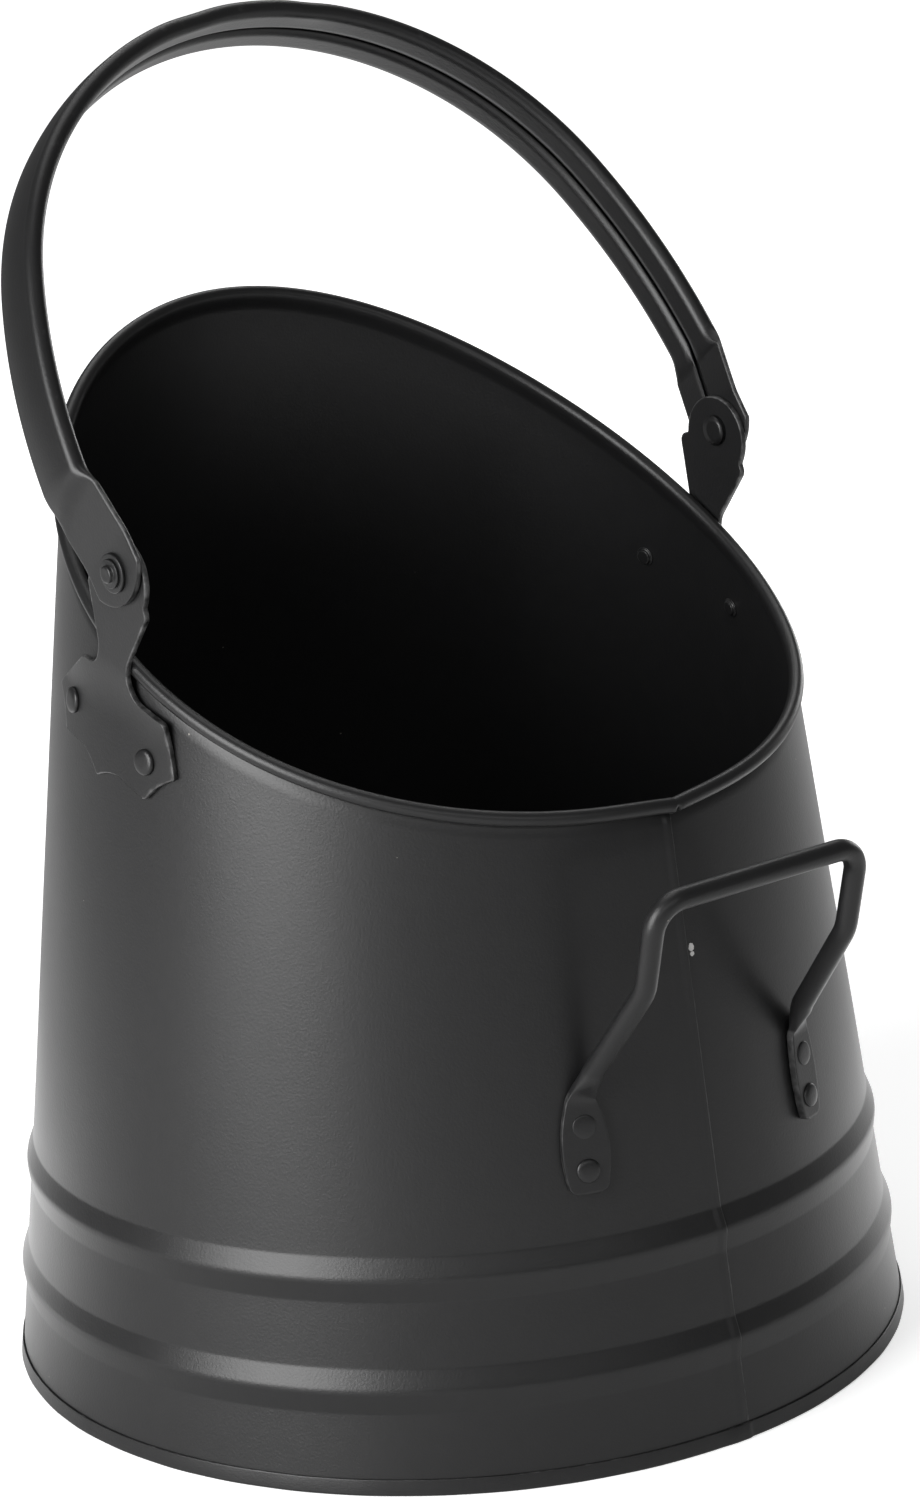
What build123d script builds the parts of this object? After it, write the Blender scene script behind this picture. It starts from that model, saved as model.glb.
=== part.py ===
from build123d import *
import os
from math import asin, atan, atan2, cos, degrees, radians, sin, sqrt

# Ash bucket: a tapered sheet body with a slanted wired rim, a bail swinging on two riveted ears,
# and a fixed tipping handle on the low side. Millimetres, +Z up, origin in the middle of the base.
# The low side of the rim faces -Y, the high lip faces +Y, and the bail turns about an axis along X.

# Body sheet
SHEET = 0.8
FOOT_RADIUS = 159.2
TAPER = 0.123
WALL_FOOT = 0.8
WALL_BLANK_TOP = 372.0

# Swaged beads round the body
BEAD_HEIGHTS = (35.6, 73.6)
BEAD_HALF = 7.8
BEAD_RISE = 1.8
BEAD_BLEND = 4.0

# Base hem, folded round the foot of the wall
HEM_HEIGHT = 5.4
FLOOR_HEIGHT = 5.0
HEM_PLAY = 0.06
HEM_BEND = 0.6

# Slanted rim: the wall is cut by a wide cylinder lying along X
RIM_MIDDLE = 277.0
RIM_SLOPE = 0.567
RIM_CURVE = 650.0
WIRE_RADIUS = 1.75
ROLL_RADIUS = 2.6
ROLL_OUTSET = 0.3
ROLL_JOIN = 2.2
ROLL_PLAY = 0.05

# Lapped side seam at the low side
LAP_START_DEG = -94.4
LAP_STEP = 0.75
LAP_FOOT = 6.2

# Ears: outline in the ear's own frame, measured from the bail's pivot
PIVOT_Y = -13.0
PIVOT_Z = 305.5
EAR_TILT = 16.0
EAR_SHEET = 2.0
EAR_FACE_X = 128.5
EAR_PLAY = 0.12
EAR_HEAD_RADIUS = 15.0
EAR_HEAD_DROP = 3.0
EAR_HEAD_SIDE = 14.5
EAR_NUB_FRONT = 1.4
EAR_NUB_REAR = 2.8
EAR_CORNER = 1.8
EAR_BLANK_HALF = 42.0
EAR_BLANK_FOOT = -82.0
EAR_BEND_FOOT = -54.0
EAR_BEND_TOP = -37.0
EAR_BLANK_TOP = 20.0
EAR_RIVET_SPREAD = 23.0
EAR_RIVET_DROP = 60.8

# Rivets
SHANK_RADIUS = 2.0
EAR_RIVET_HEAD = 4.5
EAR_RIVET_DOME = 2.1
HANDLE_RIVET_HEAD = 4.1
HANDLE_RIVET_DOME = 1.3
TAIL_RADIUS = 3.6
TAIL_HEIGHT = 1.3
HOLE_PLAY = 0.05
SEAT_PLAY = 0.06
TAIL_BEVEL = 0.5

# Pivot rivets and their washers
PIVOT_SHANK = 3.0
PIVOT_PLAY = 0.06
PIVOT_HEAD = 5.4
PIVOT_HEAD_HEIGHT = 1.5
PIVOT_RING = 5.0
PIVOT_RING_HEIGHT = 0.9
PIVOT_TIP = 3.0
PIVOT_TIP_HEIGHT = 1.5
PIVOT_BEVEL = 0.5
PIVOT_SEAT_PLAY = 0.02
WASHER_RADIUS = 6.8
WASHER_HEIGHT = 1.2
WASHER_BEVEL = 0.35
WASHER_PLAY = 0.05

# Bail: a strip with both edges rolled under, on a three-centred arch
BAIL_LEAN = 35.0
BAIL_SHEET = 1.1
BAIL_HALF_SPAN = 140.0
BAIL_SPRING = 20.0
BAIL_RISE = 171.5
BAIL_SIDE_RADIUS = 240.0
BAIL_WIDTH = 25.2
BAIL_DEPTH = 6.8
BAIL_CROWN = 0.7
BAIL_LIP_GAP = 0.7
BAIL_GROOVE = 2.0
LIP_TIP = 0.6
LIP_TURN = (1.1, 0.5)
LIP_BOW = (0.28, 1.8)
LIP_FLAT = 3.6
PINCH_TOP = 39.0
PINCH_MIDDLE = 33.0
PINCH_FOOT = 27.0
PINCH_MIDDLE_DEPTH = 5.2
PINCH_MIDDLE_HALF = 13.9
TAB_HALF_WIDTH = 15.4
TAB_SHEET = 2.2
TAB_GAP = 0.2
TAB_CORNER = -3.0
TAB_END = -11.0
TAB_BEND = 8.0
TAB_SPREAD = 3.0

# Tipping handle: a bent rod with flattened feet
ROD_RADIUS = 3.75
FOOT_OFFSET_X = 47.7
FOOT_MIDDLE = 115.0
FOOT_WIDTHS = (12.6, 16.4)
FOOT_NECK_WIDTH = 8.8
FOOT_END_SHARE = 0.76
FOOT_WIDEST = -7.0
FOOT_SHEET = 2.7
FOOT_LOW = -18.0
FOOT_HIGH = 12.0
FOOT_CORNER = 2.6
FOOT_RIVETS = (-10.0, 5.0)
FOOT_PLAY = 0.03
NECK_SINK = 1.0
NECK_STEP = 0.1
LEG_START = (45.9, -142.5, 138.0)
LEG_ELBOW = (43.6, -168.5, 173.0)
LEG_CORNER = (43.6, -176.5, 204.0)
ELBOW_BEND = 16.0
CORNER_BEND = 10.0

BIG = 900.0
DRILL = 20.0
ROUND_STEP = 0.05


def wall_radius(height):
    """Outside radius of the plain wall at a height."""
    return FOOT_RADIUS - TAPER * height


def wall_plane(angle, height, lift=0.0):
    """Plane on the wall's outside: x runs round the wall, y runs up it, z points out of it."""
    a = radians(angle)
    r = wall_radius(height)
    out = Vector(cos(a), sin(a), TAPER).normalized()
    origin = Vector(r * cos(a), r * sin(a), height) + out * lift
    return Plane(origin=origin, x_dir=(-sin(a), cos(a), 0), z_dir=out)


# The rim's cutting cylinder, from the rim's middle height and its slope there
RIM_CENTRE_Y = -RIM_CURVE * sin(atan(RIM_SLOPE))
RIM_CENTRE_Z = RIM_MIDDLE + RIM_CURVE * cos(atan(RIM_SLOPE))


def rim_point(angle):
    """Point of the rim wire's centre line at an angle round the body."""
    z = RIM_MIDDLE
    for _ in range(12):
        r = wall_radius(z) + ROLL_OUTSET
        y = r * sin(radians(angle))
        z = RIM_CENTRE_Z - sqrt(RIM_CURVE**2 - (y - RIM_CENTRE_Y) ** 2)
    return Vector(r * cos(radians(angle)), y, z)


def right_side():
    """Block that keeps only the +X half of a piece."""
    return Pos(BIG / 2, 0, BIG / 4) * Box(BIG, BIG, BIG)


def half_ring(outer, bore):
    """Right half of a round tube along the rim; a bore of nought leaves it solid."""
    path = Spline([rim_point(angle) for angle in range(-100, 101, 10)])
    circle = Circle(outer)
    if bore > 0:
        circle -= Circle(bore)
    tube = sweep(Plane(origin=path @ 0, z_dir=path % 0) * circle, path=path)
    return tube & right_side()


def wall_line():
    """Middle line of the body sheet with its two beads, in the XZ plane, from the foot upward."""
    mid = SHEET / 2
    foot = WALL_FOOT + mid
    corners = [Vector(wall_radius(foot) - mid, 0, foot)]
    edges = []
    for height in BEAD_HEIGHTS:
        low = Vector(wall_radius(height - BEAD_HALF) - mid, 0, height - BEAD_HALF)
        crest = Vector(wall_radius(height) - mid + BEAD_RISE, 0, height)
        high = Vector(wall_radius(height + BEAD_HALF) - mid, 0, height + BEAD_HALF)
        edges.append(Line(corners[-1], low))
        edges.append(ThreePointArc(low, crest, high))
        corners += [low, high]
    top = Vector(wall_radius(WALL_BLANK_TOP) - mid, 0, WALL_BLANK_TOP)
    edges.append(Line(corners[-1], top))
    line = Wire([edge.edge() for edge in edges])
    bends = [v for v in line.vertices() if any((Vector(v) - c).length < 0.01 for c in corners[1:])]
    return line.fillet_2d(BEAD_BLEND, bends)


def below_roll(sheet, cutter):
    """Part of a sheet that is left under a solid rod along the rim."""
    return (sheet - cutter).solids().sort_by(Axis.Z)[0]


def rivet_holes(radius):
    """Drills for every rivet that goes through the wall."""
    return [plane * Cylinder(radius, DRILL) for plane in ear_rivet_planes() + foot_rivet_planes()]


def make_wall():
    """Body sheet: beads, lapped seam, slanted rim rolled outward round the wire, rivet holes."""
    mid = SHEET / 2
    line = wall_line()
    sheet = revolve(make_face(line.offset_2d(mid, side=Side.BOTH, closed=True)), axis=Axis.Z)
    cutter = half_ring(ROLL_JOIN, 0)
    half = below_roll(sheet & right_side(), cutter)
    half += half_ring(ROLL_RADIUS, WIRE_RADIUS + ROLL_PLAY)
    wall = half + mirror(half, about=Plane.YZ)
    band = Rot(0, 0, LAP_START_DEG) * make_face(line.offset_2d(mid + LAP_STEP, side=Side.RIGHT, closed=True))
    lap = revolve(band, axis=Axis.Z, revolution_arc=-90 - LAP_START_DEG)
    lap -= Pos(0, 0, LAP_FOOT / 2) * Cylinder(BIG / 2, LAP_FOOT)
    wall += below_roll(lap, mirror(cutter, about=Plane.YZ))
    for drill in rivet_holes(SHANK_RADIUS + HOLE_PLAY):
        wall -= drill
    return wall


def make_bottom_pan():
    """Floor disc whose edge goes down inside the wall, under it and up outside it as a hem."""
    mid = SHEET / 2
    inside = SHEET + mid + HEM_PLAY
    outside = mid + HEM_PLAY
    floor = FLOOR_HEIGHT + mid
    points = [
        (-1.0, floor),
        (wall_radius(floor) - inside, floor),
        (wall_radius(mid) - inside, mid),
        (wall_radius(mid) + outside, mid),
        (wall_radius(HEM_HEIGHT) + outside, HEM_HEIGHT),
    ]
    points = [(x, 0, z) for x, z in points]
    line = FilletPolyline(*points, radius=HEM_BEND)
    ribbon = make_face(Wire(line.edges()).offset_2d(mid, side=Side.BOTH, closed=True))
    right = Plane.XZ * Pos(BIG / 2, 0) * Rectangle(BIG, BIG)
    return revolve(ribbon & right, axis=Axis.Z)


def ear_axes():
    """The ear's own directions in the YZ plane: across it, towards the low side, and up it."""
    t = radians(EAR_TILT)
    across = Vector(0, -cos(t), -sin(t))
    up = Vector(0, -sin(t), cos(t))
    return across, up


def ear_spot(across_mm, up_mm):
    """Y and Z of a point of the ear, given across and up from the pivot."""
    across, up = ear_axes()
    spot = Vector(0, PIVOT_Y, PIVOT_Z) + across * across_mm + up * up_mm
    return spot.Y, spot.Z


def wall_x(y, z, lift=0.0):
    """X of the wall's outside on the +X side."""
    return sqrt((wall_radius(z) + lift) ** 2 - y**2)


def ear_edges(nub):
    """Half of the ear's outline, from the top of its head to its lower cusp, with a nub of a given size."""
    head = EAR_HEAD_RADIUS
    head_end = Vector(EAR_HEAD_SIDE, -EAR_HEAD_DROP - sqrt(head**2 - EAR_HEAD_SIDE**2))
    nub_top = Vector(EAR_HEAD_SIDE - 0.2, -7.6)
    nub_foot = Vector(EAR_HEAD_SIDE - 0.3 + nub, -12.6)
    neck = Vector(9.3, -29.0)
    waist = Vector(8.6, -34.5)
    arch_foot = Vector(17.5, -43.3)
    upper = Vector(26.6, -43.6)
    side = Vector(37.0, -61.2)
    lower = Vector(26.6, -73.2)
    half = [
        ThreePointArc((0, head - EAR_HEAD_DROP), (10.6, 10.6 - EAR_HEAD_DROP), head_end),
        Line(head_end, nub_top),
        ThreePointArc(nub_top, (EAR_HEAD_SIDE + nub, -9.4), nub_foot),
        Line(nub_foot, neck),
        ThreePointArc(neck, (8.5, -31.7), waist),
        ThreePointArc(waist, (11.6, -40.6), arch_foot),
        Line(arch_foot, upper),
        ThreePointArc(upper, (32.4, -52.3), side),
        ThreePointArc(side, (30.9, -66.4), lower),
        ThreePointArc(lower, (14.5, -70.9), (0, -77.0)),
    ]
    return [piece.edge() for piece in half], (upper, side, lower)


def ear_outline():
    """Outline of the ear, x across it towards the high side and y up it, with its side corners rounded."""
    rear, corners = ear_edges(EAR_NUB_REAR)
    front, _ = ear_edges(EAR_NUB_FRONT)
    face = make_face(rear + [edge.mirror(Plane.YZ) for edge in front])
    sharp = []
    for corner in corners:
        sharp += [v for v in face.vertices() if abs(abs(v.X) - corner.X) + abs(v.Y - corner.Y) < 0.01]
    return fillet(sharp, EAR_CORNER)


def ear_sheet():
    """Bent sheet that the +X ear is cut from: it lies on the wall below, and stands flat above the rim."""
    def strip(up_mm, on_wall):
        spots = [ear_spot(across_mm, up_mm) for across_mm in (-EAR_BLANK_HALF, 0.0, EAR_BLANK_HALF)]
        edges = []
        for depth in (0.0, EAR_SHEET):
            if on_wall:
                points = [(wall_x(y, z, EAR_PLAY + depth), y, z) for y, z in spots]
                edges.append(ThreePointArc(*points).edge())
            else:
                points = [(EAR_FACE_X + depth, y, z) for y, z in spots]
                edges.append(Line(points[0], points[2]).edge())
        inner, outer = edges
        sides = [Line(inner @ 1, outer @ 1).edge(), Line(outer @ 0, inner @ 0).edge()]
        return Wire([inner, sides[0], outer, sides[1]])
    levels = [(EAR_BLANK_FOOT, True), (EAR_BEND_FOOT, True), (EAR_BEND_TOP, False), (EAR_BLANK_TOP, False)]
    return Solid.make_loft([strip(up_mm, on_wall) for up_mm, on_wall in levels], ruled=True)


def ear_rivet_planes():
    """Seats of the ears' rivets on the wall: right ear, then left ear."""
    planes = []
    for across_mm in (EAR_RIVET_SPREAD, -EAR_RIVET_SPREAD):
        y, z = ear_spot(across_mm, -EAR_RIVET_DROP)
        angle = degrees(asin(y / wall_radius(z)))
        planes.append(wall_plane(angle, z, EAR_PLAY + EAR_SHEET))
        planes.append(wall_plane(180 - angle, z, EAR_PLAY + EAR_SHEET))
    return planes


def make_ear():
    """Right ear; the left one is its mirror image."""
    across, _ = ear_axes()
    plane = Plane(origin=(0, PIVOT_Y, PIVOT_Z), x_dir=-across, z_dir=(1, 0, 0))
    blank = extrude(plane * ear_outline(), FOOT_RADIUS)
    ear = ear_sheet() & blank
    ear -= Pos(EAR_FACE_X, PIVOT_Y, PIVOT_Z) * Rot(0, 90, 0) * Cylinder(PIVOT_SHANK + HOLE_PLAY, DRILL)
    for plane in ear_rivet_planes()[0::2]:
        ear -= plane * Cylinder(SHANK_RADIUS + HOLE_PLAY, DRILL)
    return ear


def dome_rivet(head, dome, grip):
    """Rivet standing on its seat: a low dome above, a shank through the grip and a flat tail below."""
    cap_radius = (head**2 + dome**2) / (2 * dome)
    mid = head / sqrt(2)
    mid_height = SEAT_PLAY + dome - cap_radius + sqrt(cap_radius**2 - mid**2)
    tail = -grip - SEAT_PLAY
    outline = [
        ThreePointArc((head, SEAT_PLAY), (mid, mid_height), (0, SEAT_PLAY + dome)),
        Polyline(
            (0, SEAT_PLAY + dome),
            (0, tail - TAIL_HEIGHT),
            (TAIL_RADIUS - TAIL_BEVEL, tail - TAIL_HEIGHT),
            (TAIL_RADIUS, tail - TAIL_HEIGHT + TAIL_BEVEL),
            (TAIL_RADIUS, tail),
            (SHANK_RADIUS, tail),
            (SHANK_RADIUS, SEAT_PLAY),
            (head, SEAT_PLAY),
        ),
    ]
    face = make_face([edge for line in outline for edge in line.edges()])
    return revolve(Plane.XZ * face, axis=Axis.Z, revolution_arc=360)


def make_pivot_rivet():
    """Right pivot rivet along X: flat head inside the ear, peened ring and tip outside the washer."""
    inner = EAR_FACE_X - PIVOT_SEAT_PLAY
    outer = tab_face_x() + TAB_SHEET + WASHER_PLAY + WASHER_HEIGHT + PIVOT_SEAT_PLAY
    bevel = PIVOT_BEVEL
    profile = Polyline(
        (inner - PIVOT_HEAD_HEIGHT, 0),
        (inner - PIVOT_HEAD_HEIGHT, PIVOT_HEAD - bevel),
        (inner - PIVOT_HEAD_HEIGHT + bevel, PIVOT_HEAD),
        (inner, PIVOT_HEAD),
        (inner, PIVOT_SHANK),
        (outer, PIVOT_SHANK),
        (outer, PIVOT_RING),
        (outer + PIVOT_RING_HEIGHT - bevel / 2, PIVOT_RING),
        (outer + PIVOT_RING_HEIGHT, PIVOT_RING - bevel),
        (outer + PIVOT_RING_HEIGHT, PIVOT_TIP),
        (outer + PIVOT_RING_HEIGHT + PIVOT_TIP_HEIGHT - bevel, PIVOT_TIP),
        (outer + PIVOT_RING_HEIGHT + PIVOT_TIP_HEIGHT, PIVOT_TIP - 2 * bevel),
        (outer + PIVOT_RING_HEIGHT + PIVOT_TIP_HEIGHT, 0),
        close=True,
    )
    solid = revolve(make_face(profile), axis=Axis.X, revolution_arc=360)
    return Pos(0, PIVOT_Y, PIVOT_Z) * solid


def make_pivot_washer():
    """Right washer between the bail's tab and the rivet's peened ring."""
    start = tab_face_x() + TAB_SHEET + WASHER_PLAY
    bevel = WASHER_BEVEL
    profile = Polyline(
        (start, PIVOT_SHANK + PIVOT_PLAY),
        (start, WASHER_RADIUS),
        (start + WASHER_HEIGHT - bevel, WASHER_RADIUS),
        (start + WASHER_HEIGHT, WASHER_RADIUS - bevel),
        (start + WASHER_HEIGHT, PIVOT_SHANK + PIVOT_PLAY),
        close=True,
    )
    solid = revolve(make_face(profile), axis=Axis.X, revolution_arc=360)
    return Pos(0, PIVOT_Y, PIVOT_Z) * solid


def tab_face_x():
    """X of the inner face of the bail's tab."""
    return EAR_FACE_X + EAR_SHEET + TAB_GAP


def bail_centres():
    """Centres and angle of the arch's side and crown arcs, about the pivot, for the strip's outer face."""
    side_x = BAIL_HALF_SPAN - BAIL_SIDE_RADIUS
    crown_radius = (BAIL_SIDE_RADIUS**2 - side_x**2 - BAIL_RISE**2) / (2 * (BAIL_SIDE_RADIUS - BAIL_RISE))
    crown_z = BAIL_SPRING + BAIL_RISE - crown_radius
    turn = atan2(crown_z - BAIL_SPRING, -side_x)
    return side_x, crown_z, degrees(turn)


def bail_section():
    """Rolled strip section: x is outward from the arch, y is across the strip, origin on the outer face."""
    mid = BAIL_SHEET / 2
    lobe = BAIL_DEPTH / 2 - mid
    lobe_y = BAIL_WIDTH / 2 - BAIL_DEPTH / 2
    axis_x = -BAIL_DEPTH / 2
    lip_y = BAIL_LIP_GAP / 2 + mid
    under_x = axis_x - lobe
    lip = Vector(under_x + BAIL_GROOVE + LIP_TIP, lip_y)
    bend = Vector(under_x + LIP_TURN[0], lip_y + LIP_TURN[1])
    bow = Vector(under_x + LIP_BOW[0], lip_y + LIP_BOW[1])
    flat = Vector(under_x, lip_y + LIP_FLAT)
    half = [
        Line(lip, bend),
        ThreePointArc(bend, bow, flat),
        Line(flat, (under_x, lobe_y)),
        ThreePointArc((under_x, lobe_y), (axis_x, lobe_y + lobe), (axis_x + lobe, lobe_y)),
    ]
    crown = ThreePointArc((axis_x + lobe, lobe_y), (axis_x + lobe + BAIL_CROWN, 0), (axis_x + lobe, -lobe_y))
    edges = [piece.edge() for piece in half]
    other = [edge.mirror(Plane.XZ) for edge in edges]
    line = Wire(edges + [crown.edge()] + other)
    return make_face(line.offset_2d(mid, side=Side.BOTH, closed=True))


def slab_wire(height, centre_x, thickness, half_width):
    """Slab outline with rounded corners at a height of the bail's leg, for the pinched length."""
    shape = RectangleRounded(thickness, 2 * half_width, thickness / 2 - ROUND_STEP)
    return (Pos(centre_x, 0, height) * shape).wire()


def make_tab():
    """Flat drilled end of the bail's right leg: upright at the pivot, then spread outward to the pinch."""
    inner = tab_face_x()
    bottom = TAB_END - 1
    side = Polyline(
        (inner, bottom),
        (inner, TAB_BEND),
        (inner + TAB_SPREAD, PINCH_FOOT),
        (inner + TAB_SPREAD + TAB_SHEET, PINCH_FOOT),
        (inner + TAB_SHEET, TAB_BEND),
        (inner + TAB_SHEET, bottom),
        close=True,
    )
    strip = extrude(Plane.XZ * make_face(side), 2 * TAB_HALF_WIDTH, both=True)
    outline = make_face([
        Line((-TAB_HALF_WIDTH, PINCH_FOOT), (-TAB_HALF_WIDTH, TAB_CORNER)).edge(),
        ThreePointArc((-TAB_HALF_WIDTH, TAB_CORNER), (0, TAB_END), (TAB_HALF_WIDTH, TAB_CORNER)).edge(),
        Line((TAB_HALF_WIDTH, TAB_CORNER), (TAB_HALF_WIDTH, PINCH_FOOT)).edge(),
        Line((TAB_HALF_WIDTH, PINCH_FOOT), (-TAB_HALF_WIDTH, PINCH_FOOT)).edge(),
    ])
    blank = extrude(Plane(origin=(0, 0, 0), x_dir=(0, 1, 0), z_dir=(1, 0, 0)) * outline, FOOT_RADIUS)
    hole = Pos(inner, 0, 0) * Rot(0, 90, 0) * Cylinder(PIVOT_SHANK + PIVOT_PLAY, DRILL)
    return (strip & blank) - hole


def make_bail():
    """Bail in its upright place: rolled arch, pinched legs and drilled tabs; then it is leaned back."""
    side_x, crown_z, turn = bail_centres()
    section = bail_section()
    middle_radius = BAIL_SIDE_RADIUS - BAIL_DEPTH / 2
    leg_angle = degrees(asin((PINCH_TOP - BAIL_SPRING) / middle_radius))

    def arc_piece(centre_x, centre_z, radius, start, stop):
        face = Pos(centre_x + radius, 0, centre_z) * section
        axis = Axis((centre_x, 0, centre_z), (0, -1, 0))
        return revolve(face.rotate(axis, start), axis=axis, revolution_arc=stop - start)

    crown_radius = BAIL_SPRING + BAIL_RISE - crown_z
    crown = arc_piece(0, crown_z, crown_radius, turn, 180 - turn)
    side = arc_piece(side_x, BAIL_SPRING, BAIL_SIDE_RADIUS, leg_angle, turn)

    top_x = side_x + middle_radius * cos(radians(leg_angle))
    foot_x = tab_face_x() + TAB_SPREAD + TAB_SHEET / 2
    top_plane = Pos(top_x, 0, PINCH_TOP) * Rot(0, -leg_angle, 0)
    top = (top_plane * RectangleRounded(BAIL_DEPTH, BAIL_WIDTH, BAIL_DEPTH / 2 - ROUND_STEP)).wire()
    middle = slab_wire(PINCH_MIDDLE, (top_x + foot_x) / 2, PINCH_MIDDLE_DEPTH, PINCH_MIDDLE_HALF)
    foot = slab_wire(PINCH_FOOT, foot_x, TAB_SHEET, TAB_HALF_WIDTH)
    pinch = Solid.make_loft([top, middle, foot], ruled=False)

    leg = side + pinch + make_tab()
    bail = crown + leg + mirror(leg, about=Plane.YZ)
    lean = Axis((0, 0, 0), (1, 0, 0))
    return Pos(0, PIVOT_Y, PIVOT_Z) * bail.rotate(lean, -BAIL_LEAN)


def foot_angle():
    """Angle round the body of the right foot of the tipping handle."""
    return -90 + degrees(asin(FOOT_OFFSET_X / wall_radius(FOOT_MIDDLE)))


def foot_rivet_planes():
    """Seats of the handle's rivets: right foot, then left foot, lower first."""
    planes = []
    for angle in (foot_angle(), -180 - foot_angle()):
        seat = wall_plane(angle, FOOT_MIDDLE, FOOT_PLAY + FOOT_SHEET)
        planes += [Plane(seat * Pos(0, up_mm, 0)) for up_mm in FOOT_RIVETS]
    return planes


def foot_outline(width):
    """Leaf outline of a flattened foot: narrow at the neck, widest below its middle, and cut off square."""
    neck = FOOT_NECK_WIDTH / 2
    end = width * FOOT_END_SHARE / 2
    side = ThreePointArc((neck, FOOT_HIGH), (width / 2, FOOT_WIDEST), (end, FOOT_LOW)).edge()
    top = Line((-neck, FOOT_HIGH), (neck, FOOT_HIGH)).edge()
    bottom = Line((end, FOOT_LOW), (-end, FOOT_LOW)).edge()
    face = make_face([side, bottom, side.mirror(Plane.YZ), top])
    return fillet([v for v in face.vertices() if v.Y < 0], FOOT_CORNER)


def make_foot(width):
    """Foot on the right side: a flat leaf on the wall and the neck that turns it into the round rod."""
    seat = wall_plane(foot_angle(), FOOT_MIDDLE, FOOT_PLAY)
    start = Vector(*LEG_START)
    along = (Vector(*LEG_ELBOW) - start).normalized()
    plate = extrude(seat * foot_outline(width), FOOT_SHEET)
    flat_end = seat * Pos(0, FOOT_HIGH - NECK_SINK, FOOT_SHEET / 2) * Rot(-90, 0, 0)
    flat_wire = (flat_end * SlotOverall(FOOT_NECK_WIDTH, FOOT_SHEET - NECK_STEP)).wire()
    round_plane = Plane(origin=start + along * NECK_SINK, x_dir=seat.x_dir, z_dir=along)
    round_size = 2 * ROD_RADIUS - NECK_STEP
    round_wire = (round_plane * SlotOverall(round_size, round_size - NECK_STEP)).wire()
    foot = plate + Solid.make_loft([flat_wire, round_wire], ruled=True)
    for place in foot_rivet_planes()[0:2]:
        foot -= place * Cylinder(SHANK_RADIUS + HOLE_PLAY, DRILL)
    return foot


def make_tipping_handle():
    """Fixed handle: one rod with two elbows and two corners, its ends flattened into riveted feet."""
    half = [Vector(*LEG_START), Vector(*LEG_ELBOW), Vector(*LEG_CORNER)]
    points = half + [Vector(-p.X, p.Y, p.Z) for p in reversed(half)]
    path = FilletPolyline(*points, radius=[ELBOW_BEND, CORNER_BEND, CORNER_BEND, ELBOW_BEND])
    rod = sweep(Plane(origin=path @ 0, z_dir=path % 0) * Circle(ROD_RADIUS), path=path)
    right, left = [make_foot(width) for width in FOOT_WIDTHS]
    return rod + right + mirror(left, about=Plane.YZ)


def save(name, shape):
    """Write one node."""
    export_step(shape, f"parts/{name}.step")


def main():
    """Build every piece of the bucket and write it as its own node."""
    os.makedirs("parts", exist_ok=True)
    save("body_wall", make_wall())
    wire = half_ring(WIRE_RADIUS, 0)
    save("rim_wire", wire + mirror(wire, about=Plane.YZ))
    save("bottom_pan", make_bottom_pan())
    ear = make_ear()
    save("ear_right", ear)
    save("ear_left", mirror(ear, about=Plane.YZ))
    ear_rivet = dome_rivet(EAR_RIVET_HEAD, EAR_RIVET_DOME, EAR_SHEET + EAR_PLAY + SHEET)
    ear_rivet_names = ("right_front", "left_front", "right_rear", "left_rear")
    for name, plane in zip(ear_rivet_names, ear_rivet_planes()):
        save(f"ear_rivet_{name}", plane * ear_rivet)
    pivot_rivet = make_pivot_rivet()
    washer = make_pivot_washer()
    save("pivot_rivet_right", pivot_rivet)
    save("pivot_rivet_left", mirror(pivot_rivet, about=Plane.YZ))
    save("pivot_washer_right", washer)
    save("pivot_washer_left", mirror(washer, about=Plane.YZ))
    save("bail", make_bail())
    save("tipping_handle", make_tipping_handle())
    handle_rivet = dome_rivet(HANDLE_RIVET_HEAD, HANDLE_RIVET_DOME, FOOT_SHEET + FOOT_PLAY + SHEET)
    handle_rivet_names = ("right_lower", "right_upper", "left_lower", "left_upper")
    for name, plane in zip(handle_rivet_names, foot_rivet_planes()):
        save(f"handle_rivet_{name}", plane * handle_rivet)


main()
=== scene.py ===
"""An ash bucket with a slanted wired rim, a rolled-edge bail on riveted ears and a rod handle for tipping."""

import logging
import math
from dataclasses import dataclass
from enum import Enum
from typing import Optional

import bmesh
import bpy
import numpy as np
from mathutils import Matrix, Vector


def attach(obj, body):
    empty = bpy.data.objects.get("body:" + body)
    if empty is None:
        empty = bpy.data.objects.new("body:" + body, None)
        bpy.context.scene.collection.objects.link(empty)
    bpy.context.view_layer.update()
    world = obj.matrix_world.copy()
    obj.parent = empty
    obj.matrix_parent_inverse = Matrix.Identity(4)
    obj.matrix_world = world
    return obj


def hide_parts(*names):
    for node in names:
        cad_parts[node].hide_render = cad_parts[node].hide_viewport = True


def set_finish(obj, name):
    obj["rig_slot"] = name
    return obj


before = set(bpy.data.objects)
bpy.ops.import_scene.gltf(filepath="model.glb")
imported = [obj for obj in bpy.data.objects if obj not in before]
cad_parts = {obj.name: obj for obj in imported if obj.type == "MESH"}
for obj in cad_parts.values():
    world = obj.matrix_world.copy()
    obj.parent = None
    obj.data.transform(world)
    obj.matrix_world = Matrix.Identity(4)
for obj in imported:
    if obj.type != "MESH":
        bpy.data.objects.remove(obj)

LOG = logging.getLogger("ash_bucket")
MM = 0.001
MERGE_DISTANCE = 2e-6
SHORTEST_EDGE = 1e-7
FULL_TURN = 2 * math.pi
PHOTO_SIZE = (920, 1500)


class Slot(Enum):
    """Material slots of the record that the pieces take their finish from."""

    BODY = "body_coat"
    EAR = "ear_coat"
    RIVET = "rivet_coat"
    BAIL = "bail_coat"
    HANDLE = "handle_coat"


class Side(Enum):
    """Side of the bucket, as the sign of X."""

    RIGHT = 1
    LEFT = -1

    @property
    def label(self) -> str:
        """The side's word in the names of pieces and nodes."""
        return self.name.lower()


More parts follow.
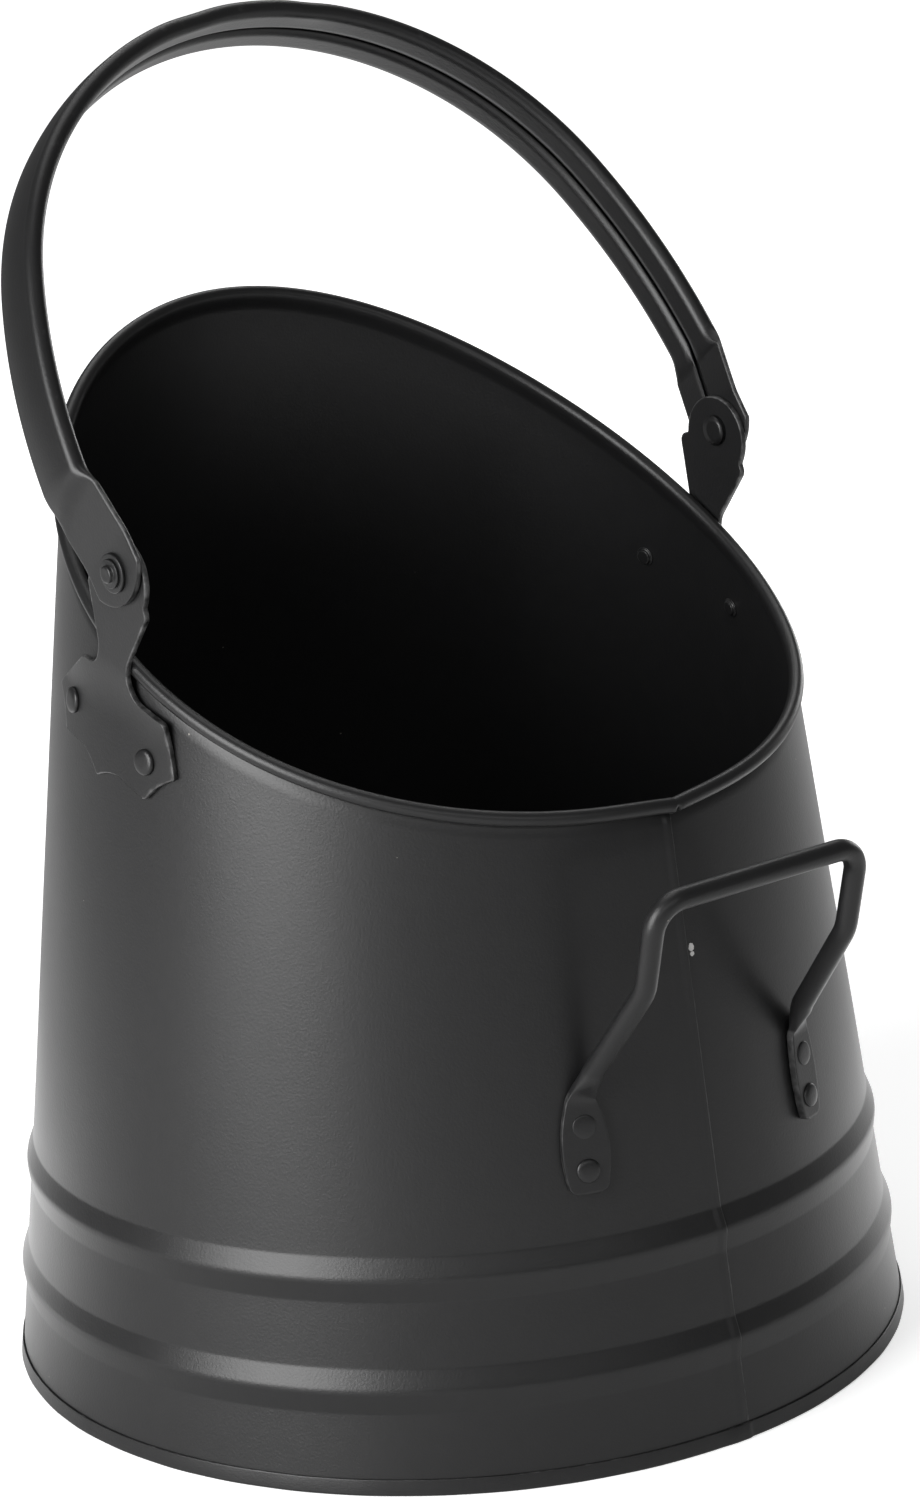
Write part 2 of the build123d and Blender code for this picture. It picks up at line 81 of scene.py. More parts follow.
# Shapes as arrays


def pairs(first: np.ndarray, second: np.ndarray) -> np.ndarray:
    """Points of a plane from an array of each of their two measures."""
    return np.stack([first, second], axis=1)


def arc(start: tuple, middle: tuple, end: tuple, count: int) -> np.ndarray:
    """Points on the circle through three points of a plane.

    The centre solves the two equations that put it at equal distance from the points, and the
    angle runs evenly from the first point to the last, past the middle one.

    Args:
        start: first point.
        middle: a point between the ends.
        end: last point.
        count: number of points, both ends included.

    Returns:
        Array of shape (count, 2).
    """
    a, b, c = (np.asarray(point, float) for point in (start, middle, end))
    system = 2 * np.array([b - a, c - a])
    centre = np.linalg.solve(system, [b @ b - a @ a, c @ c - a @ a])
    angle_a, angle_b, angle_c = (math.atan2(*(point - centre)[::-1]) for point in (a, b, c))
    turn = (angle_c - angle_a) % FULL_TURN
    if (angle_b - angle_a) % FULL_TURN > turn:
        turn -= FULL_TURN
    angle = angle_a + turn * np.linspace(0, 1, count)
    radius = np.linalg.norm(a - centre)
    return centre + radius * pairs(np.cos(angle), np.sin(angle))


def smooth_step(value: np.ndarray, low: float, high: float) -> np.ndarray:
    """S-curve from 0 at low to 1 at high: three squares less two cubes of the share between them."""
    share = np.clip((np.asarray(value, float) - low) / (high - low), 0, 1)
    return share * share * (3 - 2 * share)


def bump(value: np.ndarray, centre: float, width: float) -> np.ndarray:
    """Bell curve of height 1: e to the minus square of the distance over the width."""
    return np.exp(-(((np.asarray(value, float) - centre) / width) ** 2))


def respace(points: np.ndarray, count: int, closed: bool = False) -> np.ndarray:
    """The same line with its points an equal distance apart, found by interpolating along its length.

    Args:
        points: line of shape (n, k).
        count: number of points wanted.
        closed: whether the line returns to its first point, which isn't repeated in the result.

    Returns:
        Array of shape (count, k).
    """
    line = np.vstack([points, points[:1]]) if closed else points
    steps = np.linalg.norm(np.diff(line, axis=0), axis=1)
    length = np.concatenate([[0], np.cumsum(steps)])
    wanted = np.linspace(0, length[-1], count + 1)[:-1] if closed else np.linspace(0, length[-1], count)
    return np.stack([np.interp(wanted, length, line[:, k]) for k in range(line.shape[1])], axis=1)


def soften_loop(points: np.ndarray, reach: float) -> np.ndarray:
    """Closed outline with its corners rounded: each point becomes the bell-weighted mean of its neighbours.

    The mean is a product with the bell curve's own spectrum, so the whole loop is averaged at once.

    Args:
        points: evenly spaced loop of shape (n, 2).
        reach: width of the bell along the outline, in the outline's units.

    Returns:
        Array of the same shape.
    """
    step = np.linalg.norm(points[1] - points[0])
    wave = np.fft.fftfreq(len(points), step)
    keep = np.exp(-((math.pi * wave * reach) ** 2))
    return np.stack([np.fft.ifft(np.fft.fft(points[:, k]) * keep).real for k in range(2)], axis=1)


def rounded_path(corners: np.ndarray, radii: list, step: float) -> np.ndarray:
    """Polyline in space with an arc at each inner corner, sampled about every step.

    Each arc is tangent to both runs: it starts at the radius times the tangent of half the turn from
    the corner, and its points turn evenly about the arc's centre.

    Args:
        corners: points of the polyline, shape (n, 3).
        radii: arc radius at each inner corner.
        step: distance between points along the path.

    Returns:
        Array of shape (m, 3).
    """
    pieces = [corners[:1]]
    for k, radius in enumerate(radii, start=1):
        into = corners[k] - corners[k - 1]
        out = corners[k + 1] - corners[k]
        into, out = into / np.linalg.norm(into), out / np.linalg.norm(out)
        turn = math.acos(np.clip(into @ out, -1, 1))
        inward = (out - into) / np.linalg.norm(out - into)
        centre = corners[k] + inward * radius / math.cos(turn / 2)
        angle = np.linspace(-turn / 2, turn / 2, max(6, int(radius * turn / step) + 2))[:, None]
        along = (into + out) / np.linalg.norm(into + out)
        pieces.append(centre + radius * (along * np.sin(angle) - inward * np.cos(angle)))
    pieces.append(corners[-1:])
    line = np.vstack(pieces)
    length = np.linalg.norm(np.diff(line, axis=0), axis=1).sum()
    return respace(line, int(length / step) + 1)


def unit(vectors: np.ndarray) -> np.ndarray:
    """Each vector divided by its length."""
    return vectors / np.linalg.norm(vectors, axis=-1, keepdims=True)


def carry_round(
    radius: np.ndarray, along: np.ndarray, turn: np.ndarray, origin: tuple, axes: tuple
) -> np.ndarray:
    """Grid of a profile carried round an axis.

    Each point is the radius times the cosine of the turn on the first axis, times its sine on the
    second, and the way along on the third.

    Args:
        radius: distance from the axis, for each point of the profile or for each turn and point.
        along: way along the axis at each point of the profile.
        turn: the turns in radians.
        origin: where the way along is nought.
        axes: the three directions.

    Returns:
        Points of shape (turns, points, 3).
    """
    turn = turn[:, None]
    parts = np.broadcast_arrays(radius * np.cos(turn), radius * np.sin(turn), along)
    return np.asarray(origin) + sum(part[..., None] * np.asarray(axis) for part, axis in zip(parts, axes))


def piece_from_grid(
    name: str, grid: np.ndarray, wrap_u: bool, wrap_v: bool, edge: Optional[np.ndarray] = None
) -> bpy.types.Object:
    """Closed mesh from a grid of points: each cell is a four-sided face between its corners.

    Rows that meet in one point are merged, so the poles are closed. The faces point outwards, which
    is read from the sign of the volume: the sum over the faces of their corners' triple products.

    Args:
        name: name of the object.
        grid: points in millimetres, shape (nu, nv, 3).
        wrap_u: whether the last row joins the first.
        wrap_v: whether the last column joins the first.
        edge: share of edge wear at each point, shape (nu, nv); its pale paint is partly a painted edge
            highlight.

    Returns:
        The object, in the frame's metres, with smooth shading.
    """
    nu, nv = grid.shape[:2]
    points = np.ascontiguousarray(grid.reshape(-1, 3)) * MM
    i = np.arange(nu if wrap_u else nu - 1)[:, None]
    j = np.arange(nv if wrap_v else nv - 1)[None, :]
    corner = [((i + a) % nu) * nv + (j + b) % nv for a, b in ((0, 0), (1, 0), (1, 1), (0, 1))]
    faces = np.stack(np.broadcast_arrays(*corner), axis=-1).reshape(-1, 4)
    p = points[faces]
    triple = np.einsum("ij,ij->i", p[:, 0], np.cross(p[:, 1], p[:, 2]) + np.cross(p[:, 2], p[:, 3]))
    if triple.sum() < 0:
        faces = faces[:, ::-1]
    mesh = bpy.data.meshes.new(name)
    mesh.vertices.add(len(points))
    mesh.vertices.foreach_set("co", points.ravel())
    mesh.loops.add(faces.size)
    mesh.loops.foreach_set("vertex_index", np.ascontiguousarray(faces).ravel().astype(np.int32))
    mesh.polygons.add(len(faces))
    mesh.polygons.foreach_set("loop_start", np.arange(0, faces.size, 4, dtype=np.int32))
    wear = mesh.attributes.new("edge", "FLOAT", "POINT")
    values = np.zeros(len(points)) if edge is None else np.broadcast_to(edge, (nu, nv)).ravel()
    wear.data.foreach_set("value", np.ascontiguousarray(values, dtype=np.float32))
    mesh.update(calc_edges=True)
    tidy = bmesh.new()
    tidy.from_mesh(mesh)
    bmesh.ops.remove_doubles(tidy, verts=tidy.verts, dist=MERGE_DISTANCE)
    bmesh.ops.dissolve_degenerate(tidy, edges=tidy.edges, dist=SHORTEST_EDGE)
    tidy.to_mesh(mesh)
    tidy.free()
    mesh.polygons.foreach_set("use_smooth", np.ones(len(mesh.polygons), dtype=bool))
    mesh.validate()
    piece = bpy.data.objects.new(name, mesh)
    bpy.context.scene.collection.objects.link(piece)
    return piece


def place_on_body(piece: bpy.types.Object, body: str, slot: Slot, *nodes: str) -> bpy.types.Object:
    """Let a piece ride on a body, name its slot and hide the CAD nodes it stands for.

    Args:
        piece: the new object.
        body: name of the body.
        slot: material slot of the record.
        nodes: CAD nodes that it replaces.

    Returns:
        The same object.
    """
    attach(piece, body)
    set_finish(piece, slot.value)
    if nodes:
        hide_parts(*nodes)
    LOG.info("%s: %d faces on %s", piece.name, len(piece.data.polygons), body)
    return piece


# The bucket's shared form


@dataclass(frozen=True)
class BucketForm:
    """Sizes that every piece on the body shares, in millimetres, as in the CAD source."""

    foot_radius: float = 159.2
    taper: float = 0.123
    sheet: float = 0.8
    rim_middle: float = 277.0
    rim_slope: float = 0.567
    rim_curve: float = 650.0
    roll_radius: float = 2.6
    roll_outset: float = 0.3
    lap_start: float = -94.4
    lap_rise: float = 0.75

    @property
    def lean(self) -> float:
        """Angle of the wall from upright, in radians."""
        return math.atan(self.taper)

    def wall_radius(self, height: np.ndarray) -> np.ndarray:
        """Outside radius of the plain wall: it falls in proportion to the height."""
        return self.foot_radius - self.taper * np.asarray(height, float)

    def rim_height(self, angle: np.ndarray) -> np.ndarray:
        """Height of the rim's centre line at an angle round the body.

        The rim lies on a wide cylinder along X. Its radius depends on the height and the height on
        its Y, so the two are worked out in turn until they agree.

        Args:
            angle: angles in radians.

        Returns:
            Heights in millimetres.
        """
        centre_y = -self.rim_curve * math.sin(math.atan(self.rim_slope))
        centre_z = self.rim_middle + self.rim_curve * math.cos(math.atan(self.rim_slope))
        height = np.full(np.shape(angle), self.rim_middle)
        for _ in range(12):
            y = (self.wall_radius(height) + self.roll_outset) * np.sin(angle)
            height = centre_z - np.sqrt(self.rim_curve**2 - (y - centre_y) ** 2)
        return height

    def on_wall(self, angle: np.ndarray, up: np.ndarray, out: np.ndarray) -> np.ndarray:
        """Points at a distance up the wall's slope and out of its face.

        The radius is the foot's, less the sine part of the way up, plus the cosine part of the way
        out. The height is the cosine part of the way up plus the sine part of the way out.

        Args:
            angle: angles round the body in radians.
            up: distance up the slope.
            out: distance outward, square to the wall.

        Returns:
            Points of shape (..., 3).
        """
        radius = self.foot_radius - up * math.sin(self.lean) + out * math.cos(self.lean)
        height = up * math.cos(self.lean) + out * math.sin(self.lean)
        parts = np.broadcast_arrays(radius * np.cos(angle), radius * np.sin(angle), height)
        return np.stack(parts, axis=-1)

    def wall_frame(self, angle: float, height: float) -> tuple:
        """Point of the wall's outside with its directions round, up and out, as arrays."""
        radius = float(self.wall_radius(height))
        point = np.array([radius * math.cos(angle), radius * math.sin(angle), height])
        out = unit(np.array([math.cos(angle), math.sin(angle), self.taper]))
        around = np.array([-math.sin(angle), math.cos(angle), 0.0])
        return point, around, np.cross(out, around), out


FORM = BucketForm()


@dataclass
class BodyShell:
    """Tapered sheet body with two beads, a lapped seam and its top edge rolled round a wire."""

    form: BucketForm = FORM
    bead_heights: tuple = (35.6, 73.6)
    bead_rise: float = 1.8
    bead_slope: float = 14.5
    crest_radius: float = 6.0
    bead_blend: float = 4.5
    ridge_start: tuple = (-91.8, -90.75)
    ridge_end: tuple = (-90.34, -89.98)
    ridge_share: float = 0.7
    lap_foot: tuple = (5.9, 7.2)
    kink_angle: float = -89.3
    kink_drop: float = 2.0
    kink_reach: tuple = (4.5, 6.0)
    notch_depth: float = 0.55
    notch_half: float = 0.34
    crevice: float = 0.16
    roll_blend: float = 6.5
    ripple_height: float = 0.10
    ripple_fade: tuple = (6.0, 120.0)
    foot: float = 0.85
    rows_up: int = 34
    rows_down: int = 26
    rows_roll: int = 34

    def bead_profile(self) -> np.ndarray:
        """Outer face from the foot to above the upper bead, as (way up the slope, way out).

        Each bead has two straight flanks, a small arc over its crest and a hollow arc where a flank
        meets the wall. The flanks meet the crest's arc at its slope, and their length follows from
        the crest's height: the rise plus the arc's own drop, over the tangent of the slope.

        Returns:
            Array of shape (n, 2).
        """
        slope = math.radians(self.bead_slope)
        reach = (self.bead_rise + self.crest_radius * (1 / math.cos(slope) - 1)) / math.tan(slope)
        foot = reach + self.bead_blend * math.tan(slope / 2)
        hollow = np.linspace(0, slope, 6)
        dome = np.linspace(-slope, slope, 11)
        rows = [np.array([[self.foot, 0.0]])]
        for height in self.bead_heights:
            middle = height / math.cos(self.form.lean)
            low = pairs(middle - foot + self.bead_blend * np.sin(hollow),
                        self.bead_blend * (1 - np.cos(hollow)))
            top = pairs(middle + self.crest_radius * np.sin(dome),
                        self.bead_rise - self.crest_radius * (1 - np.cos(dome)))
            flank = np.linspace(low[-1], top[0], 5)[1:-1]
            high = np.vstack([low, flank])[::-1] * [-1, 1] + [2 * middle, 0]
            plain = np.linspace(rows[-1][-1], low[0], 7)[1:-1]
            rows += [plain, low, flank, top, high]
        return np.vstack(rows)

    def angles(self) -> np.ndarray:
        """Angles of the columns in radians: even, and closer together across the lapped seam."""
        even = np.arange(-180, 180, 1.0)
        lap = np.linspace(self.form.lap_start - 0.3, -91.8, 6)
        ridge = np.linspace(-91.75, -90.35, 15)
        step = np.linspace(-90.3, -89.95, 15)
        notch = self.kink_angle + np.linspace(-0.7, 0.7, 21)
        return np.radians(np.unique(np.concatenate([even, lap, ridge, step, notch])))

    def lap(self, angle: np.ndarray, up: np.ndarray) -> np.ndarray:
        """How far the lapping sheet stands out: a faint rise, then a soft ridge that ends at the seam."""
        degree = np.degrees(angle)
        faint = smooth_step(degree, self.form.lap_start, self.form.lap_start + 2.4)
        rise = (1 - self.ridge_share) * faint + self.ridge_share * smooth_step(degree, *self.ridge_start)
        drop = 1 - smooth_step(degree, *self.ridge_end)
        return self.form.lap_rise * rise * drop * smooth_step(up, *self.lap_foot)

    def seam_dip(self, angle: np.ndarray) -> np.ndarray:
        """How far the rim sinks at the seam: a drop that falls off by e every few degrees from the kink."""
        away = np.degrees(angle) - self.kink_angle
        return self.kink_drop * np.exp(-np.abs(away) / np.where(away < 0, *self.kink_reach))

    def ripple(self, angle: np.ndarray, up: np.ndarray) -> np.ndarray:
        """Unevenness of rolled sheet: a sum of slow waves round and up the wall, nought at the foot."""
        waves = np.sin(3 * angle + 0.021 * up + 0.4) + 0.7 * np.sin(5 * angle - 0.034 * up + 1.9)
        waves = waves + 0.5 * np.sin(9 * angle + 0.05 * up + 2.6)
        return self.ripple_height * waves * smooth_step(up, *self.ripple_fade)

    def build(self) -> bpy.types.Object:
        """Mesh the shell: for each angle a closed section runs up outside, round the roll and down inside.

        The roll's section is a circle drawn out along the slope by one over the cosine of the rim's
        tilt, which is how a slanting tube is cut by an upright plane.

        Returns:
            The finished object.
        """
        form = self.form
        angle = self.angles()[:, None]
        height = form.rim_height(angle) - self.seam_dip(angle)
        out_axis = form.roll_outset * math.cos(form.lean)
        up_axis = (height - out_axis * math.sin(form.lean)) / math.cos(form.lean)
        radius = form.wall_radius(height) + form.roll_outset
        slant = np.gradient(up_axis[:, 0], self.angles())[:, None] / radius
        stretch = np.sqrt(1 + slant**2)

        profile = self.bead_profile()
        tangent = unit(np.gradient(profile, axis=0))
        inner = (profile - form.sheet * pairs(-tangent[:, 1], tangent[:, 0]))[::-1]
        ones = np.ones_like(angle)

        cross = math.sqrt(form.roll_radius**2 - out_axis**2)
        join = up_axis - stretch * (cross + 0.35)
        share = np.linspace(0, 1, self.rows_up)[None, 1:]
        up_outer = profile[-1, 0] + (join - profile[-1, 0]) * share
        away = np.degrees(angle) - self.kink_angle
        first_turn = -math.pi + math.acos(out_axis / form.roll_radius)
        turn = np.linspace(first_turn, math.pi, self.rows_roll)[None, :]
        gap = self.notch_depth * bump(away, 0.15, self.notch_half) * smooth_step(-np.sin(turn), -0.3, 0.9)
        swell = 0.05 * smooth_step(away, -1.6, -0.25) * (1 - smooth_step(away, -0.1, 0.05))
        roll_radius = form.roll_radius * (1 + swell - gap)
        up_roll = up_axis + stretch * roll_radius * np.sin(turn)
        out_roll = out_axis + roll_radius * np.cos(turn)
        crevice_up = join + stretch * 0.25
        blend = np.linspace(0, 1, 8)[None, 1:]
        up_blend = up_axis - stretch * self.roll_blend * blend
        out_blend = out_roll[:, -1:] + (-form.sheet - out_roll[:, -1:]) * smooth_step(blend, 0, 1)
        fall = np.linspace(1, 0, self.rows_down)[None, 1:-1]
        up_inner = inner[0, 0] + (up_blend[:, -1:] - inner[0, 0]) * fall

        up = np.hstack([ones * profile[:, 0], up_outer, crevice_up, up_roll, up_blend, up_inner,
                        ones * inner[:, 0], ones * (self.foot - 0.05)])
        outward = np.hstack([ones * profile[:, 1], np.zeros_like(up_outer), -self.crevice * ones, out_roll,
                             out_blend, -form.sheet + np.zeros_like(up_inner),
                             ones * inner[:, 1], ones * (-form.sheet / 2)])
        row = np.arange(up.shape[1])
        count = len(profile) + up_outer.shape[1]
        outer = row < count
        outward = outward + outer * self.lap(angle, up) + self.ripple(angle, up)
        # Paler rubbed paint along the seam's step and, more weakly, over the roll's top: partly worn paint,
        # partly a painted highlight along both.
        seam = bump(np.degrees(angle), -90.1, 0.3) * outer
        on_roll = np.zeros(len(row))
        on_roll[count + 1:count + 1 + self.rows_roll] = bump(np.degrees(turn[0]), 55, 60)
        edge = np.clip(seam + 0.55 * on_roll, 0, 1)
        piece = piece_from_grid("shell_sheet", form.on_wall(angle, up, outward), True, True, edge)
        return place_on_body(piece, "bucket", Slot.BODY, "body_wall", "rim_wire")


@dataclass
class BasePan:
    """Floor disc with its edge folded down inside the wall, under it and up outside it as a hem."""

    form: BucketForm = FORM
    sheet: float = 0.8
    floor_height: float = 5.0
    hem_top: float = 5.8
    play: float = 0.06
    lap_swell: float = 0.55
    wave_height: float = 0.05
    trim: float = 0.14

    def loop(self) -> np.ndarray:
        """Section from the middle of the floor's top, round the fold, to the middle of its underside.

        Returns:
            Array of (radius, height) of shape (n, 2).
        """
        wall = self.form.wall_radius
        inner = self.form.sheet + self.play
        thick = self.sheet
        top = self.floor_height + thick
        floor_edge = float(wall(top)) - inner - 0.9
        leg = float(wall(0)) - inner
        leg_inside = leg - thick
        hem = float(wall(0)) + self.play
        hem_outside = hem + thick
        high = self.hem_top
        return np.vstack([
            pairs(np.linspace(0, floor_edge, 60), np.full(60, top)),
            arc((floor_edge, top), (floor_edge + 0.65, top - 0.25), (floor_edge + 0.92, top - 0.95), 7)[1:],
            [[leg - 0.13, 1.1], [leg + 0.05, 0.86], [hem - 0.05, 0.86], [hem - 0.13, 1.1]],
            [[hem - self.form.taper * high + 0.02, high - 0.35]],
            arc((hem - 0.7, high - 0.3), (hem - 0.3, high), (hem + 0.08, high - 0.35), 7),
            [[hem_outside - 0.12, 1.0]],
            arc((hem_outside - 0.1, 0.8), (hem_outside - 0.33, 0.24), (hem_outside - 0.9, 0.0), 7),
            [[hem - 0.2, 0.0], [leg + 0.1, 0.0]],
            arc((leg, 0.0), (leg - 0.62, 0.28), (leg_inside - 0.03, 0.85), 7),
            [[leg_inside - 0.15, 2.0], [leg_inside - 0.4, 4.2]],
            arc((leg_inside - 0.5, 4.6), (leg_inside - 0.65, 4.9), (leg_inside - 1.0, 5.0), 5),
            pairs(np.linspace(leg_inside - 3, 0, 50), np.full(50, self.floor_height)),
        ])

    def build(self) -> bpy.types.Object:
        """Mesh the pan: its section carried round the axis, with the hem pushed out over the seam's lap.

        Returns:
            The finished object.
        """
        loop = self.loop()
        degree = np.unique(np.concatenate([np.arange(-180, 180, 1.5), np.linspace(-96, -88, 33)]))
        angle = np.radians(degree)
        swell = self.lap_swell * smooth_step(degree, -95, -92) * (1 - smooth_step(degree, -90.3, -89.6))
        wave = self.wave_height * (np.sin(17 * angle) + np.sin(41 * angle + 1.0))
        on_hem = smooth_step(loop[:, 0], 158.6, 159.5)
        radius = loop[:, 0] + (swell + wave - self.trim)[:, None] * on_hem
        grid = carry_round(radius, loop[:, 1], angle, (0, 0, 0), np.eye(3))
        edge = 0.8 * bump(loop[:, 1], self.hem_top, 0.5) * (loop[:, 0] > 158) + 0.9 * (loop[:, 1] < 0.4)
        piece = piece_from_grid("pan_and_hem", grid, True, False, edge[None, :])
        return place_on_body(piece, "bucket", Slot.BODY, "bottom_pan")


# Ears and rivets


@dataclass
class Ear:
    """Stamped ear: flat above the rim, curved to the wall below it, with a scalloped outline."""

    side: Side
    form: BucketForm = FORM
    pivot: tuple = (-13.0, 305.5)
    tilt: float = 16.0
    thickness: float = 2.0
    face_x: float = 128.5
    play: float = 0.12
    rivet_spread: float = 23.0
    rivet_drop: float = 60.8
    nub_front: float = 1.4
    nub_rear: float = 2.8
    scoop_front: tuple = ((11.2, -40.4), (16.4, -43.1))
    scoop_rear: tuple = ((10.6, -38.4), (14.6, -39.7))
    corner_front: tuple = (29.0, -43.8)
    corner_rear: tuple = (17.6, -39.8)
    bulge_front: tuple = (32.8, -53.0)
    bulge_rear: tuple = (26.9, -49.8)
    blend_up: tuple = (-57.5, -33.5)
    round_edge: float = 0.45
    spine_ends: tuple = (-70.0, 4.0)
    outline_points: int = 420
    rows_across: int = 22

    def outline(self, count: int) -> np.ndarray:
        """Whole outline in the ear's own frame: arcs and lines for each half, with a smaller nub in front.

        Args:
            count: number of points round the outline.

        Returns:
            Array of (across, up) of shape (count, 2), starting at the top of the head.
        """
        front = self.half_outline(self.nub_front, self.scoop_front, self.corner_front, self.bulge_front)
        rear = self.half_outline(self.nub_rear, self.scoop_rear, self.corner_rear, self.bulge_rear)
        loop = respace(np.vstack([front, rear[-2:0:-1] * [-1, 1]]), 1600, closed=True)
        loop = soften_loop(loop, 0.9)
        return respace(loop, count, closed=True)

    @staticmethod
    def half_outline(nub: float, scoop: tuple, corner: tuple, bulge: tuple) -> np.ndarray:
        """Half of the outline, from the top of the head to the lower cusp.

        Args:
            nub: how far the nub under the head stands out.
            scoop: middle and end of the hollow under the neck.
            corner: the shoulder's corner.
            bulge: a point of the side, between that corner and the cusp below.

        Returns:
            Array of shape (n, 2).
        """
        return np.vstack([
            arc((0, 12), (10.6, 7.6), (14.5, -6.84), 30),
            arc((14.3, -7.6), (14.5 + nub, -9.4), (14.2 + nub, -12.6), 12),
            arc((9.3, -29.0), (8.5, -31.7), (8.6, -34.5), 10),
            arc((8.6, -34.5), *scoop, 16)[1:],
            arc(corner, bulge, (37.0, -61.2), 20),
            arc((37.0, -61.2), (30.9, -66.4), (26.6, -73.2), 16)[1:],
            arc((26.6, -73.2), (14.5, -70.9), (0, -77.0), 26)[1:],
        ])

    def to_space(self, across: np.ndarray, up: np.ndarray) -> tuple:
        """Y and Z of places on the ear: the tilted directions across and up, added to the pivot."""
        tilt = math.radians(self.tilt)
        y = self.pivot[0] - across * math.cos(tilt) - up * math.sin(tilt)
        z = self.pivot[1] - across * math.sin(tilt) + up * math.cos(tilt)
        return y, z

    def sheet_x(self, across: np.ndarray, up: np.ndarray) -> np.ndarray:
        """X of the ear's inner face: on the wall's circle below, flat above, with an S-curve between."""
        y, z = self.to_space(across, up)
        on_wall = np.sqrt((self.form.wall_radius(z) + self.play) ** 2 - y**2)
        flat = smooth_step(up, *self.blend_up)
        return on_wall * (1 - flat) + self.face_x * flat

    def surface(self, across: np.ndarray, up: np.ndarray, depth: np.ndarray) -> np.ndarray:
        """Points at a depth square to the ear's inner face.

        The face's normal is the cross product of its slopes across and up, found from small steps.

        Args:
            across: places across the ear.
            up: places up the ear.
            depth: way outward from the inner face.

        Returns:
            Points of shape (..., 3).
        """
        step = 0.05
        spots = []
        for a, b in ((0, 0), (step, 0), (0, step)):
            y, z = self.to_space(across + a, up + b)
            spots.append(np.stack([self.sheet_x(across + a, up + b), y, z], axis=-1))
        normal = unit(np.cross(spots[1] - spots[0], spots[2] - spots[0]))
        normal = normal * np.sign(normal[..., :1])
        points = spots[0] + normal * np.asarray(depth)[..., None]
        return points * np.array([self.side.value, 1, 1])

    def build(self) -> bpy.types.Object:
        """Mesh the ear: each point of the outline is joined to the nearest place on its middle line.

        A section from the middle runs out over the front, round a small edge and back behind, so one
        grid closes the whole plate.

        Returns:
            The finished object.
        """
        loop = self.outline(self.outline_points)
        spine = pairs(np.zeros(len(loop)), np.clip(loop[:, 1], *self.spine_ends))
        outward = unit(loop - spine)
        share = np.linspace(0, 1, self.rows_across)
        turn = np.linspace(math.pi / 2, -math.pi / 2, 9)
        r = self.round_edge
        flat = spine[:, None] + (loop - outward * r - spine)[:, None] * share[None, :, None]
        corner = (loop - outward * r)[:, None] + outward[:, None] * (r * np.cos(turn))[None, 1:-1, None]
        plane = np.concatenate([flat, corner, flat[:, ::-1]], axis=1)
        high = self.thickness
        edge_depth = np.where(turn > 0, high - r + r * np.sin(turn), r + r * np.sin(turn))[1:-1]
        edge_depth[len(edge_depth) // 2] = high / 2
        depth = np.concatenate([np.full(len(share), high), edge_depth, np.zeros(len(share))])
        grid = self.surface(plane[..., 0], plane[..., 1], np.broadcast_to(depth, plane.shape[:2]))
        near_rim = bump(share, 1.0, 0.06)
        rim = np.concatenate([near_rim, np.ones(len(edge_depth)), near_rim[::-1]])
        piece = piece_from_grid(f"ear_plate_{self.side.label}", grid, True, False, rim[None, :])
        return place_on_body(piece, "bucket", Slot.EAR, f"ear_{self.side.label}")

    def rivet_seats(self) -> dict:
        """Angle and height on the wall of the front and the rear rivet, front meaning the low side."""
        seats = {}
        for label, spread in (("front", self.rivet_spread), ("rear", -self.rivet_spread)):
            y, z = self.to_space(np.array(spread), np.array(-self.rivet_drop))
            angle = math.asin(float(y) / float(self.form.wall_radius(z)))
            seats[label] = (angle if self.side is Side.RIGHT else math.pi - angle, float(z))
        return seats


@dataclass
class DomeRivet:
    """Rivet through the wall: a low dome outside and a hammered tail inside."""

    name: str
    node: str
    angle: float
    height: float
    grip: float
    seat: float
    head: float = 4.5
    dome: float = 2.1
    flatness: float = 2.4
    tail: float = 3.6
    tail_height: float = 1.6
    hammering: float = 0.012
    steps_round: int = 48
    form: BucketForm = FORM

    def profile(self) -> tuple:
        """Radius and height of the rivet from the top of its dome to the middle of its tail.

        The dome is a quarter ellipse with a flatter top. The tail has a wide ring against the sheet and
        a narrower button on it.

        Returns:
            Two arrays of one length.
        """
        turn = np.linspace(0, math.pi / 2, 18)
        dome_r = self.head * np.sin(turn) ** 0.9
        dome_h = 0.05 + self.dome * (1 - np.sin(turn) ** self.flatness) ** (1 / self.flatness)
        shank = np.array([[self.head - 0.25, 0.02], [2.0, 0.0], [2.0, -self.grip]])
        low = -self.grip - 0.06
        bend = np.linspace(0, math.pi / 2, 5)
        ring = pairs(self.tail - 0.3 * (1 - np.cos(bend)), low - 0.3 - 0.3 * np.sin(bend))
        button = pairs(self.tail - 0.95 - 0.35 * (1 - np.cos(bend)),
                       low - self.tail_height + 0.4 - 0.35 * np.sin(bend))
        rows = np.vstack([
            pairs(dome_r, dome_h),
            shank,
            [[self.tail - 0.15, low]],
            ring,
            [[self.tail - 0.9, low - 0.62]],
            button,
            [[self.tail * 0.4, low - self.tail_height + 0.02], [0.0, low - self.tail_height + 0.05]],
        ])
        return rows[:, 0], rows[:, 1]

    def build(self) -> bpy.types.Object:
        """Mesh the rivet: its profile carried round the wall's normal, slightly uneven from the hammer.

        Returns:
            The finished object.
        """
        radius, height = self.profile()
        point, around, up, out = self.form.wall_frame(self.angle, self.height)
        turn = np.linspace(0, FULL_TURN, self.steps_round, endpoint=False)
        waves = np.sin(3 * turn + self.angle * 7)[:, None]
        uneven = 1 + self.hammering * waves * (radius > 0.5)
        grid = carry_round(radius * uneven, height, turn, point + out * self.seat, (around, up, out))
        edge = 0.35 * bump(radius, self.head * 0.2, 2.2) * (height > 0.5)
        edge = edge + 0.9 * (height < -self.grip - 0.3) * (radius > self.tail * 0.55)
        piece = piece_from_grid(self.name, grid, True, False, edge[None, :])
        return place_on_body(piece, "bucket", Slot.RIVET, self.node)


